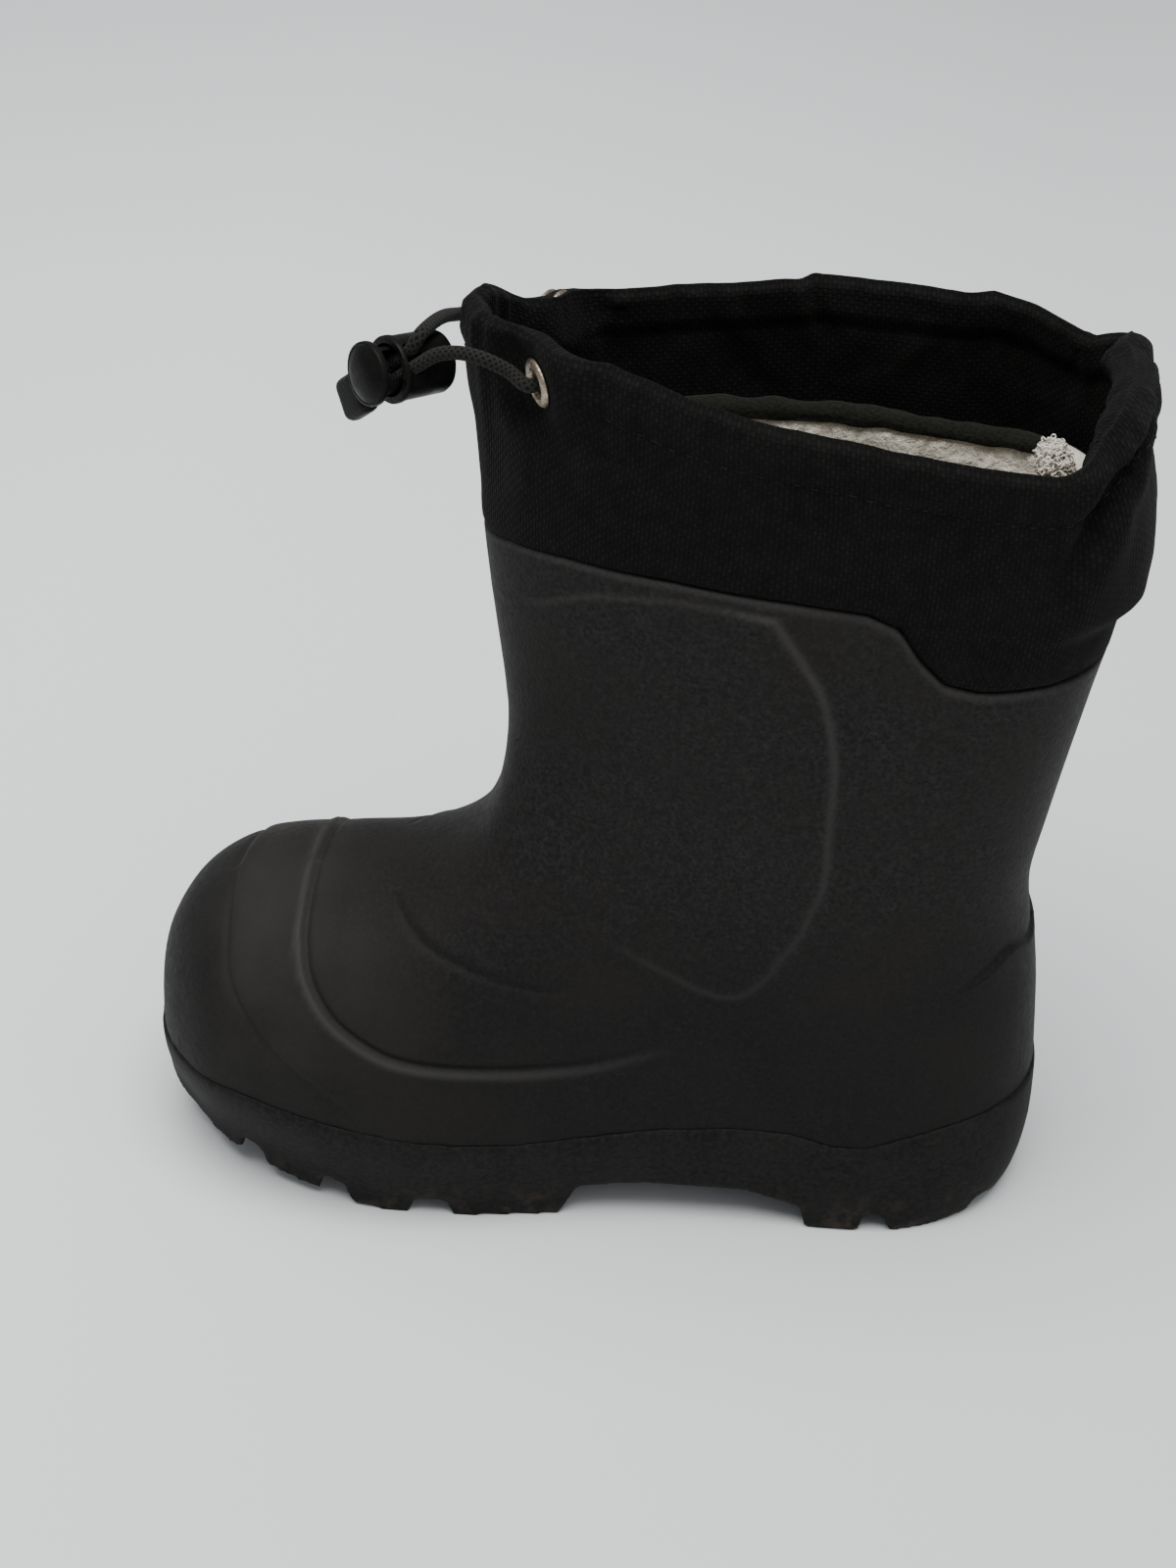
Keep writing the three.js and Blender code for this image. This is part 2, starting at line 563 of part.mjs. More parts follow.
const lockButton = lathed([
  [0, stemEnd], [LOCK.stem, stemEnd], [LOCK.stem, capStart], [LOCK.radius - 0.1, capStart],
  [LOCK.radius - 0.1, capStart + 1.1], [LOCK.radius - 0.9, capStart + 2],
  [LOCK.radius - 2.6, capStart + 2.6], [0, capStart + 2.9],
]).subtract(
  inLock(
    new THREE.BoxGeometry(LOCK.slotAcross, LOCK.slotAlong + LOCK.travel, 4 * LOCK.radius)
      .translate(0, LOCK.slotAt + LOCK.travel / 2, 0),
  ),
);

// ---- Drawcord: two strands, each out of its eyelet, through the lock and into the end tab.
const strandSplit = CORD / 2 + 0.25;
const TAB = { along: 9, across: 8.7, thick: 4.4, away: 16.5 };
const IN_LOCK = [6, 0, -6, -TAB.away + TAB.along / 2 + GAP]; // towards the tab, along the slot
const EYELET_REACH = { inside: CUFF_WALL + 1, outside: 2.2 };
function strandRoute(eyelet, side, between) {
  return [
    eyelet.point.clone().addScaledVector(eyelet.normal, -EYELET_REACH.inside),
    eyelet.point.clone().addScaledVector(eyelet.normal, EYELET_REACH.outside),
    ...between,
    ...IN_LOCK.map((entry) => lockPlace(side * strandSplit, LOCK.slotAt, entry)),
  ];
}
const routes = {
  drawcord_outer: strandRoute(eyelets.eyelet_outer, -1, [
    at(111.2, 20.5, 196), at(115.7, 20.5, 198.2), at(120.5, 19.5, 198.8), at(124.6, 18.6, 197.9),
  ]),
  drawcord_inner: strandRoute(eyelets.eyelet_inner, 1, [
    at(115.5, -17.5, 193.5), at(121, -11.5, 194.3), at(123.8, -5, 196.2), at(125.6, 3, 199),
    at(127, 10.5, 200.4), at(128.4, 16, 200.2),
  ]),
};
const CORD_SIDES = 8;
function cordSolid(points) {
  const path = new THREE.CatmullRomCurve3(points, false, "centripetal");
  const circle = new THREE.Shape(
    Array.from({ length: CORD_SIDES }, (_, i) => {
      const turn = (i / CORD_SIDES) * 2 * Math.PI;
      return new THREE.Vector2(Math.cos(turn), Math.sin(turn)).multiplyScalar(CORD / 2);
    }),
  );
  const steps = Math.ceil(path.getLength() / (2 * CORD)) + 4;
  return solid(new THREE.ExtrudeGeometry(circle, { steps, extrudePath: path, curveSegments: 1 }));
}

// The tab is a small moulded block that both strands run into.
const cordEnd = inLock(
  new THREE.BoxGeometry(TAB.across, TAB.thick, TAB.along).translate(0, LOCK.slotAt, -TAB.away),
);

// ---- The scene graph.
const FINISH = {
  foam: { color: 0x17181b, roughness: 0.5, metalness: 0 },
  soleFoam: { color: 0x1b1b1d, roughness: 0.62, metalness: 0 },
  wool: { color: 0xc9c1ae, roughness: 1, metalness: 0 },
  cloth: { color: 0x1c1d20, roughness: 0.85, metalness: 0 },
  brass: { color: 0x8a7a5c, roughness: 0.35, metalness: 1 },
  cord: { color: 0x141416, roughness: 0.8, metalness: 0 },
  hardPlastic: { color: 0x0e0e10, roughness: 0.35, metalness: 0 },
};
const boot = new THREE.Group();
function addPiece(name, made, finish) {
  const mesh = new THREE.Mesh(geometryOf(made), new THREE.MeshStandardMaterial(FINISH[finish]));
  mesh.name = name;
  boot.add(mesh);
}
addPiece("upper", upper, "foam");
addPiece("outsole", outsole, "soleFoam");
addPiece("liner", liner, "wool");
addPiece("cuff", cuff, "cloth");
for (const [name, { made }] of Object.entries(eyelets)) addPiece(name, made, "brass");
for (const [name, route] of Object.entries(routes)) addPiece(name, cordSolid(route), "cord");
addPiece("lock_barrel", lockBarrel, "hardPlastic");
addPiece("lock_button", lockButton, "hardPlastic");
addPiece("cord_end", cordEnd, "hardPlastic");

export default boot;
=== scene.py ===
import math

import bpy
import numpy as np
from mathutils import Matrix, Vector
from mathutils.noise import noise as noise_at


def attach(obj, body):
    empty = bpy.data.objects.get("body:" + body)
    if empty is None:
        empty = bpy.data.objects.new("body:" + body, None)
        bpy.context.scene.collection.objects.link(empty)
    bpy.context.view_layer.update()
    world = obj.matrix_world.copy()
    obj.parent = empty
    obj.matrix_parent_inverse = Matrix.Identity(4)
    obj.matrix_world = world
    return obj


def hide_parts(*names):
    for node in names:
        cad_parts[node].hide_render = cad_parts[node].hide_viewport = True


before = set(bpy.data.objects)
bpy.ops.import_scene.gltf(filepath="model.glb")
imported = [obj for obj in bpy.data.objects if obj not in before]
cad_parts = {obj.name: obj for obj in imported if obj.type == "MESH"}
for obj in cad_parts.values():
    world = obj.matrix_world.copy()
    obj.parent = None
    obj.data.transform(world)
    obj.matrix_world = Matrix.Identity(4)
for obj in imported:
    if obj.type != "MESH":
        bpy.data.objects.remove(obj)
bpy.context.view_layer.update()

bpy.ops.object.select_all(action="DESELECT")

# ---- Camera.
# It stands off the outer side of the boot, well above it and a little behind its middle.
# A place on the boot is written as it is in the hand: along from the heel, across to the outer
# side, and up from the floor, in millimetres. HEEL is how far the heel is behind the origin,
# which is midway between the outsole's tip and the back of the shaft.
mm = 0.001
TOE_TIP, SOLE_TIP_PROUD, SHAFT_BACK = 197, 0.6, 8.9
HEEL = (TOE_TIP + SOLE_TIP_PROUD - SHAFT_BACK) / 2


def at(along, across, up):
    return Vector((across * mm, (HEEL - along) * mm, up * mm))


EYE = at(49.3, 450.9, 387.4)
LOOKS_ALONG = Vector((-0.8336, -0.0928, -0.5446))
CAMERA_ROLL = -0.01064

camera = bpy.data.objects.new("camera", bpy.data.cameras.new("camera"))
bpy.context.scene.collection.objects.link(camera)
camera.data.lens = 58.5
camera.data.sensor_width = 36
camera.data.clip_start = 0.02
level = LOOKS_ALONG.to_track_quat("-Z", "Y").to_matrix().to_4x4()
camera.matrix_world = Matrix.Translation(EYE) @ level @ Matrix.Rotation(CAMERA_ROLL, 4, "Z")
bpy.context.scene.camera = camera

# ---- Drawcord, in two strands.
# A round braided elastic cord, polyester over rubber. Each strand comes out of its eyelet,
# runs through the cord lock and ends in the moulded end tab.
CORD = 2.7
CORD_ROUTES = {
    "drawcord_outer": [
        (102.82, 19.86, 194.7), (107.16, 22.23, 193.97), (111.2, 20.5, 196), (115.7, 20.5, 198.2),
        (120.5, 19.5, 198.8), (124.6, 18.6, 197.9), (128.76, 17.61, 195.02), (132.4, 14.42, 191.48),
        (136.04, 11.23, 187.93), (139.49, 8.19, 184.56),
    ],
    "drawcord_inner": [
        (105.12, -17.93, 191.33), (109.52, -20.2, 190.61), (115.5, -17.5, 193.5), (121, -11.5, 194.3),
        (123.8, -5, 196.2), (125.6, 3, 199), (127, 10.5, 200.4), (128.4, 16, 200.2),
        (129.9, 16.06, 197.58), (133.54, 12.87, 194.04), (137.17, 9.68, 190.49), (140.63, 6.65, 187.12),
    ],
}


def curve_points(points, steps):
    """Points along a smooth curve through these, by centripetal Catmull-Rom, steps to a span."""
    ends = [2 * points[0] - points[1], *points, 2 * points[-1] - points[-2]]
    made = [points[0]]
    for a, b, c, d in zip(ends, ends[1:], ends[2:], ends[3:]):
        ta = 0.0
        tb = ta + (b - a).length ** 0.5
        tc = tb + (c - b).length ** 0.5
        td = tc + (d - c).length ** 0.5
        for i in range(1, steps + 1):
            t = tb + (tc - tb) * i / steps
            ab = a.lerp(b, (t - ta) / (tb - ta))
            bc = b.lerp(c, (t - tb) / (tc - tb))
            cd = c.lerp(d, (t - tc) / (td - tc))
            abc = ab.lerp(bc, (t - ta) / (tc - ta))
            bcd = bc.lerp(cd, (t - tb) / (td - tb))
            made.append(abc.lerp(bcd, (t - tb) / (tc - tb)))
    return made


def smoothed(piece, smooth=True):
    piece.data.polygons.foreach_set("use_smooth", [smooth] * len(piece.data.polygons))


def mesh_piece(name, points, faces, smooth=True):
    """A mesh object with its place in its mesh."""
    mesh = bpy.data.meshes.new(name)
    mesh.from_pydata([tuple(p) for p in points], [], faces)
    mesh.update()
    made = bpy.data.objects.new(name, mesh)
    smoothed(made, smooth)
    bpy.context.scene.collection.objects.link(made)
    return made


def grid_faces(rows, columns, closed=True, start=0):
    """Quads between rows of points, each row running round when it is closed."""
    span = columns if closed else columns - 1
    return [
        (start + r * columns + c, start + r * columns + (c + 1) % columns,
         start + (r + 1) * columns + (c + 1) % columns, start + (r + 1) * columns + c)
        for r in range(rows - 1)
        for c in range(span)
    ]


def corners_of(piece):
    """The point that each corner of a face stands on."""
    corner = np.empty(len(piece.data.loops), np.int32)
    piece.data.loops.foreach_get("vertex_index", corner)
    return corner


def give_uv(piece, u, v):
    """The piece's own map, in millimetres of cloth or cord, from a u and a v for each corner."""
    layer = piece.data.uv_layers.new(name="cut")
    layer.data.foreach_set("uv", np.stack([u, v], 1).astype(np.float32).ravel())


def merged(piece, threshold=0.02):
    """Doubles merged, unless there is no threshold, and faces turned outwards."""
    bpy.context.view_layer.objects.active = piece
    piece.select_set(True)
    bpy.ops.object.mode_set(mode="EDIT")
    bpy.ops.mesh.select_all(action="SELECT")
    if threshold:
        bpy.ops.mesh.remove_doubles(threshold=threshold * mm)
    bpy.ops.mesh.normals_make_consistent(inside=False)
    bpy.ops.object.mode_set(mode="OBJECT")
    piece.select_set(False)


def new_material(name, roughness, metallic=0.0, specular=0.5, sheen=0.0):
    material = bpy.data.materials.new(name)
    material.use_nodes = True
    shader = material.node_tree.nodes["Principled BSDF"]
    shader.inputs["Roughness"].default_value = roughness
    shader.inputs["Metallic"].default_value = metallic
    shader.inputs["Specular IOR Level"].default_value = specular
    shader.inputs["Sheen Weight"].default_value = sheen
    return material


def add_node(material, kind, links=None, values=None, **settings):
    """A shader node with its settings, its fixed values and what is plugged into it."""
    made = material.node_tree.nodes.new("ShaderNode" + kind)
    for key, value in settings.items():
        setattr(made, key, value)
    for socket, value in (values or {}).items():
        made.inputs[socket].default_value = value
    for socket, source in (links or {}).items():
        material.node_tree.links.new(source, made.inputs[socket])
    return made


def on_piece(material):
    """The place on the piece itself, in metres."""
    return add_node(material, "TexCoord").outputs["Object"]


def ranged(material, value, low=0.0, high=1.0, to=(0.0, 1.0)):
    """What runs from low to high is spread over another range, and held inside it."""
    return add_node(material, "MapRange", {"Value": value}, {
        "From Min": low, "From Max": high, "To Min": to[0], "To Max": to[1]}).outputs[0]


def maths(material, operation, first, second=None):
    """A Math node: its operands are sockets or numbers."""
    made = add_node(material, "Math", operation=operation)
    for i, operand in enumerate([first, second]):
        if operand is None:
            continue
        if isinstance(operand, (int, float)):
            made.inputs[i].default_value = operand
        else:
            material.node_tree.links.new(operand, made.inputs[i])
    return made.outputs[0]


def product(material, first, *others):
    """All of these, sockets or numbers, multiplied."""
    for other in others:
        first = maths(material, "MULTIPLY", first, other)
    return first


def blended(material, factor, first, second):
    """A colour between two: each is a socket or an (r, g, b)."""
    made = add_node(material, "Mix", data_type="RGBA")
    for key, colour in (("A", first), ("B", second)):
        socket = next(s for s in made.inputs if s.name == key and s.type == "RGBA")
        if isinstance(colour, tuple):
            socket.default_value = (*colour, 1)
        else:
            material.node_tree.links.new(colour, socket)
    socket = next(s for s in made.inputs if s.name == "Factor" and s.type == "VALUE")
    if isinstance(factor, (int, float)):
        socket.default_value = factor
    else:
        material.node_tree.links.new(factor, socket)
    return next(s for s in made.outputs if s.type == "RGBA")


def dressed(material, colour=None, rough=None, height=None, distance=0.1, strength=1.0):
    """Plugs a colour, a roughness and a bump of this many millimetres into the shader."""
    links = material.node_tree.links
    shader = material.node_tree.nodes["Principled BSDF"]
    if colour is not None:
        links.new(colour, shader.inputs["Base Color"])
    if rough is not None:
        links.new(rough, shader.inputs["Roughness"])
    if height is not None:
        bump = add_node(material, "Bump", {"Height": height},
                        {"Distance": distance * mm, "Strength": strength})
        links.new(bump.outputs[0], shader.inputs["Normal"])
    return material


def noise(material, coordinates, scale, detail=2.0, low=0.0, high=1.0, roughness=0.5):
    """Noise of about this many cells to the metre, spread from low to high."""
    made = add_node(material, "TexNoise", {"Vector": coordinates},
                    {"Scale": scale, "Detail": detail, "Roughness": roughness})
    if (low, high) == (0.0, 1.0):
        return made.outputs["Fac"]
    return ranged(material, made.outputs["Fac"], low, high)


braid = new_material("braided_cord", 0.78, specular=0.1, sheen=0.04)
cord_map = add_node(braid, "UVMap", uv_map="cut").outputs[0]
cord_axes = add_node(braid, "SeparateXYZ", {"Vector": cord_map}).outputs
# The yarns wind both ways round the cord and pass over and under each other.
YARN_TURNS = 6
YARN_RISE = 1.15
climb = product(braid, cord_axes["Y"], 2 * math.pi / YARN_RISE)
around = product(braid, cord_axes["X"], 2 * math.pi * YARN_TURNS)
right_yarn = maths(braid, "SINE", maths(braid, "ADD", around, climb))
left_yarn = maths(braid, "SINE", maths(braid, "SUBTRACT", around, climb))
yarns = maths(braid, "MAXIMUM", right_yarn, left_yarn)
braid_colour = blended(braid, ranged(braid, yarns, -0.4, 1.0),
                       (0.0030, 0.0030, 0.0026), (0.0165, 0.0160, 0.0140))
dressed(braid, braid_colour, height=yarns, distance=0.12)

CORD_SIDES = 24
cord_paths = {}
cords = {}
for name, route in CORD_ROUTES.items():
    path = curve_points([at(*p) for p in route], 12)
    points = []
    turned = []
    lengths = []
    run = 0.0
    facing = None
    for i, here in enumerate(path):
        way = (path[min(i + 1, len(path) - 1)] - path[max(i - 1, 0)]).normalized()
        if facing is None:
            facing = way.orthogonal().normalized()
        facing = (facing - way * facing.dot(way)).normalized()
        side = way.cross(facing)
        if i:
            run += (here - path[i - 1]).length / mm
        for k in range(CORD_SIDES + 1):
            turn = 2 * math.pi * k / CORD_SIDES
            points.append(here + (facing * math.cos(turn) + side * math.sin(turn)) * CORD / 2 * mm)
            turned.append(k / CORD_SIDES)
            lengths.append(run)
    faces = grid_faces(len(path), CORD_SIDES + 1, closed=False)
    last = (len(path) - 1) * (CORD_SIDES + 1)
    faces.append(tuple(reversed(range(CORD_SIDES))))
    faces.append(tuple(range(last, last + CORD_SIDES)))
    cord = mesh_piece(name + "_braid", points, faces)
    corner = corners_of(cord)
    give_uv(cord, np.array(turned)[corner], np.array(lengths)[corner])
    merged(cord, 0.01)
    cord.data.materials.append(braid)
    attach(cord, "boot")
    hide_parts(name)
    cords[name] = cord
    cord_paths[name] = path

# ---- Upper.
# The moulded foam shell: one hollow piece from the toe over the instep and round the heel up to
# the collar, 3 mm thick, cast with its raised panel, toe ribs and creases in place.
# The last is a row for each section, a slice through a point of the top line and a point of the
# low line, both along and up, with the half widths at the low line and at the widest place, how
# high that place is, how round the top is, and how square the heel is on either side.
LAST_COLUMNS = ("top_along", "top_up", "low_along", "low_up", "sole_out", "sole_in", "out", "in",
                "crown", "round", "heel_out", "heel_in")
LAST = np.array([
    (197.2, 31, 197.2, 29, -7, 7, -7, 7, 0.5, 2, 2.25, 2.25),
    (196.6, 42, 196.3, 17, 3, 16, 4, 17, 0.45, 2, 2.25, 2.25),
    (194.0, 50, 193.5, 11, 8, 22, 13, 25, 0.42, 2.1, 2.25, 2.25),
    (188.5, 58, 188.0, 9, 14, 28, 22, 33, 0.42, 2.2, 2.25, 2.25),
    (180.0, 64, 180.0, 7.5, 22, 32, 30, 37.5, 0.42, 2.3, 2.25, 2.25),
    (168.0, 68, 168.0, 5, 28, 34.5, 35.5, 39.5, 0.4, 2.35, 2.25, 2.25),
    (154.0, 70.5, 154.0, 2.5, 32.5, 35.5, 39, 40, 0.38, 2.35, 2.25, 2.25),
    (141.0, 73, 140.0, 0, 34.5, 35, 40, 39.5, 0.36, 2.3, 2.25, 2.25),
    (130.5, 78, 124.0, 0, 34.5, 33.5, 39.5, 38, 0.34, 2.25, 2.25, 2.25),
    (123.0, 85, 107.0, 0, 32.5, 31, 37.5, 35, 0.32, 2.2, 2.25, 2.25),
    (118.8, 93, 88.0, 0, 30.5, 29, 35, 33, 0.3, 2.15, 2.25, 2.25),
    (117.0, 100, 66.0, 0, 30.5, 30, 33.5, 32.5, 0.3, 2.1, 2.25, 2.25),
    (116.2, 106, 42.0, 0, 31.5, 31.5, 33.2, 32.7, 0.32, 2.1, 2.25, 2.25),
    (115.9, 111, 20.0, 0, 31, 31, 33, 32.5, 0.36, 2.1, 2.25, 2.25),
    (115.9, 115, 6.0, 0.5, 31, 31, 32.8, 32.3, 0.4, 2.1, 2.25, 2.25),
    (116.2, 119, 1.4, 12, 31, 31, 32.5, 32, 0.42, 2.1, 2.25, 2.25),
    (116.5, 123, 0.8, 30, 31, 31, 32.2, 31.7, 0.44, 2.1, 2.25, 2.25),
    (117.0, 128, 2.0, 50, 31, 31, 32, 31.5, 0.45, 2.1, 2.25, 2.25),
    (117.5, 133, 4.6, 67, 31.2, 31, 32, 31.5, 0.46, 2.1, 2.25, 2.25),
    (118.0, 138, 5.6, 81, 31.6, 31.4, 32.2, 31.8, 0.48, 2.1, 2.25, 2.25),
    (118.6, 144, 3.2, 96, 32, 31.8, 32.8, 32.4, 0.5, 2.1, 2.25, 2.25),
    (119.2, 151, 0.2, 112, 32.6, 32.4, 33.5, 33, 0.5, 2.1, 2.3, 2.25),
    (119.8, 158, -3.2, 129, 33.2, 33, 34.2, 33.8, 0.5, 2.05, 2.4, 2.3),
    (120.4, 167, -6.6, 147, 34, 33.6, 35, 34.4, 0.5, 2, 2.6, 2.4),
    (120.9, 180, -8.6, 168, 34.4, 34, 35.4, 34.8, 0.5, 1.9, 3.0, 2.5),
    (121.2, 193, -8.9, 186, 34.4, 34, 35.4, 34.8, 0.5, 1.8, 3.3, 2.5),
    (121.2, 206, -8.0, 202, 34.2, 33.8, 35, 34.6, 0.5, 1.75, 3.3, 2.5),
])
LAST_TOP = len(LAST) - 1
# The rows where the heel turns up, and where the shaft starts.
HEEL_ROW, SHAFT_ROW = 14, 18
HEEL_REACH = 34
HEEL_FLAT = 1.2
JOINT_LINE = np.array([
    (-20, 29), (4, 30), (20, 29.5), (30, 27), (37, 24.2), (44, 24.4), (54, 27.6), (66, 28.4),
    (82, 27), (96, 24.8), (112, 23.4), (126, 23.6), (138, 25), (150, 27), (162, 29), (174, 30.5),
    (188, 30), (205, 28),
]).T
COLLAR_LINE = np.array([
    (-20, 139), (4, 138.6), (21, 138.8), (28, 140.6), (33, 146), (37, 152.6), (43, 155.4),
    (58, 157.4), (80, 159.6), (100, 160), (112, 159), (120, 156.5), (135, 156),
]).T
SHELL_WALL = 3.0


def eased(value):
    value = np.clip(value, 0, 1)
    return value * value * (3 - 2 * value)


def on_curve(a, b, c, d, t):
    """From b at 0 to c at 1, on a smooth curve through four numbers in a row."""
    return 0.5 * (2 * b + (c - a) * t + (2 * a - 5 * b + 4 * c - d) * t**2
                  + (3 * b - a - 3 * c + d) * t**3)


def section(place):
    """The numbers of the last at places counted in rows, on a smooth curve down each column."""
    place = np.clip(place, 0, LAST_TOP)
    i = np.clip(np.floor(place).astype(int), 0, LAST_TOP - 1)
    t = (place - i)[..., None]
    b, c = LAST[i], LAST[i + 1]
    a = np.where((i > 0)[..., None], LAST[i - 1], 2 * b - c)
    d = np.where((i + 2 <= LAST_TOP)[..., None], LAST[np.minimum(i + 2, LAST_TOP)], 2 * c - b)
    return dict(zip(LAST_COLUMNS, np.moveaxis(on_curve(a, b, c, d, t), -1, 0)))


back_section = section(np.arange(HEEL_ROW, LAST_TOP + 0.01, 0.25))
# The footbed's height inside, along the boot. At the heel it rises into a cup.
FOOTBED = np.array([(0, 20), (45, 20), (80, 17), (112, 12.5), (140, 12.5), (168, 16), (185, 20.5),
                    (200, 24)]).T
HEEL_CUP = 7
CUP_ROWS = (12.6, 16)


def last_points(place, turn, inset=0.0, floor_rise=None):
    """Points (along, across, up) of the last, moved inwards by inset, which may be a function of
    along and up. Turn is 0 on the top line and pi on the low line, negative on the inner side."""
    place, turn = np.broadcast_arrays(np.asarray(place, float), np.asarray(turn, float))
    depth = inset if callable(inset) else (lambda along, up: np.full(np.shape(along), float(inset)))
    s = section(place)
    before, after = section(np.maximum(place - 0.02, 0)), section(np.minimum(place + 0.02, LAST_TOP))
    ends = []
    for line, outwards in (("top", 1), ("low", -1)):
        way = np.stack([after[line + "_along"] - before[line + "_along"],
                        after[line + "_up"] - before[line + "_up"]])
        way /= np.hypot(*way)
        moved = depth(s[line + "_along"], s[line + "_up"]) * outwards
        ends.append([s[line + "_along"] - way[1] * moved, s[line + "_up"] + way[0] * moved])
    top, low = ends
    if floor_rise is not None:
        corner = np.clip((place - CUP_ROWS[0]) / (CUP_ROWS[1] - CUP_ROWS[0]), 0, 1)
        low[1] = np.maximum(low[1], np.interp(low[0], *FOOTBED) + floor_rise + HEEL_CUP * corner)
    outer = turn >= 0
    turn = np.abs(turn)
    upper = turn < np.pi / 2
    cosine, sine = np.clip(np.cos(turn), 0, 1), np.clip(np.sin(turn), 0, 1)
    share = np.where(upper, s["crown"] + (1 - s["crown"]) * cosine ** (2 / s["round"]),
                     s["crown"] * (1 - np.sin(turn - np.pi / 2)))
    along = low[0] + (top[0] - low[0]) * share
    up = low[1] + (top[1] - low[1]) * share
    rise = eased(share / s["crown"])
    dome = np.where(upper, sine ** (2 / s["round"]), 1)
    half_sole = (s["sole_out"] + s["sole_in"]) / 2
    half_side = (s["out"] + s["in"]) / 2
    wall = depth(along, up)
    back = np.interp(up, back_section["low_up"], back_section["low_along"]) + wall
    near = np.clip((along - back) / (HEEL_REACH - wall), 0, 1)
    square = np.where(outer, s["heel_out"], s["heel_in"])
    heel = (1 - (1 - near) ** square) ** (1 / square)
    half = half_sole + (half_side - half_sole) * rise - wall
    half = np.maximum(half * heel, np.where(upper, 0, HEEL_FLAT)) * dome
    centre = (s["sole_out"] - s["sole_in"]) / 2 * (1 - rise) + (s["out"] - s["in"]) / 2 * rise
    return np.stack([along, centre + np.where(outer, half, -half), up], -1)


def in_frame(points):
    """Places along, across and up, in millimetres, as points of the shared frame."""
    return np.stack([points[..., 1], HEEL - points[..., 0], points[..., 2]], -1) * mm


def solved(height, low, high):
    """Where a rising function of numbers between low and high passes zero, by halving."""
    low, high = np.array(low, float), np.array(high, float)
    for _ in range(36):
        middle = (low + high) / 2
        above = height(middle) > 0
        high = np.where(above, middle, high)
        low = np.where(above, low, middle)
    return (low + high) / 2


def joint_turn(place, side, inset=0.0, lift=0.0):
    """The turn at which a section meets the joint between upper and outsole."""
    def drop(turn):
        p = last_points(place, side * turn, inset)
        return np.interp(p[..., 0], *JOINT_LINE) + lift - p[..., 2]
    return solved(drop, np.full(place.shape, 0.3), np.full(place.shape, np.pi))


def place_at(line, turn, inset=0.0, lift=0.0):
    """The place at which each turn reaches a line of along and up."""
    def rise(place):
        p = last_points(place, turn, inset)
        return p[..., 2] - np.interp(p[..., 0], *line) - lift
    return solved(rise, np.full(turn.shape, SHAFT_ROW), np.full(turn.shape, LAST_TOP))


GAP = 0.3
SIDE_COLUMNS = 100
JOINT_AT_HEEL = 30
HEEL_PLACE = float(solved(lambda p: section(p)["low_up"] - JOINT_AT_HEEL - GAP / 2, 14.5, 17.5))
# The rows of the shell's mesh: places on the last up to the heel, then shares of the shaft.
TOE_ROWS = np.concatenate([
    np.linspace(0, 1, 14)[1:] ** 1.7, np.linspace(1, 8, 62)[1:], np.linspace(8, 12, 34)[1:],
    np.linspace(12, 15, 34)[1:], np.linspace(15, HEEL_PLACE, 26)[1:],
])
SHAFT_ROWS = np.linspace(0, 1, 76)[1:]
sides = np.concatenate([np.linspace(-1, 0, SIDE_COLUMNS + 1), np.linspace(0, 1, SIDE_COLUMNS + 1)[1:]])
LIP = 0.9


def spread(out, inn):
    """Turns of a row's columns, even in the middle and closing up only towards its two ends."""
    end = np.where(sides >= 0, out, inn)
    short = 1 - end / np.pi
    power = np.clip(0.6 / np.maximum(short, 0.01), 1, 6)
    return np.sign(sides) * np.pi * (np.abs(sides) - short * np.abs(sides) ** power)


def shell_rows(inset):
    """Rows of the shell's skin from toe to collar, each from the inner joint to the outer one."""
    rows = []
    outer_end = joint_turn(TOE_ROWS, 1, inset, GAP / 2)
    inner_end = joint_turn(TOE_ROWS, -1, inset, GAP / 2)
    for place, out, inn in zip(TOE_ROWS, outer_end, inner_end):
        turn = spread(out, inn)
        rows.append(last_points(np.full(turn.shape, place), turn, inset))
    turn = sides * np.pi
    top = place_at(COLLAR_LINE, turn, inset, -LIP)
    for share in SHAFT_ROWS:
        rows.append(last_points(HEEL_PLACE + (top - HEEL_PLACE) * share, turn, inset))
    return np.array(rows)


def rolled_over(start, end, steps, height):
    """The rings of a half round from one ring of points over to the next."""
    rings = []
    for turn in np.pi * np.arange(1, steps) / steps:
        ring = start + (end - start) * (1 - np.cos(turn)) / 2
        ring[:, 2] += height * np.sin(turn)
        rings.append(ring)
    return rings


outside = shell_rows(0.0)
inside = shell_rows(SHELL_WALL)
# The collar's edge is rolled over: a half round between the outside and the inside.
lip = rolled_over(outside[-1], inside[-1], 5, LIP)
INNER_STEP = 5
inner_columns = np.arange(0, len(sides), INNER_STEP)
inner_row_numbers = np.concatenate([
    np.arange(2 * INNER_STEP - 1, len(TOE_ROWS), INNER_STEP),
    np.arange(len(TOE_ROWS) + 14, len(outside) - 1, 15), [len(outside) - 1],
])
columns = len(sides)
fine = np.concatenate([outside, lip])
shell_points = [in_frame(fine).reshape(-1, 3), in_frame(inside[-1:]).reshape(-1, 3)]
shell_faces = grid_faces(len(fine) + 1, columns, closed=False)
rough_start = (len(fine) + 1) * columns
rough = inside[inner_row_numbers[:-1]][:, inner_columns]
shell_points.append(in_frame(rough).reshape(-1, 3))
pole_out = rough_start + rough.shape[0] * rough.shape[1]
pole_in = pole_out + 1
tip = np.array([LAST[0][0], (LAST[0][6] - LAST[0][7]) / 2, np.interp(LAST[0][0], *JOINT_LINE) + GAP / 2])
shell_points.append(in_frame(np.array([tip, tip - [SHELL_WALL, 0, 0]])))
n = len(inner_columns)
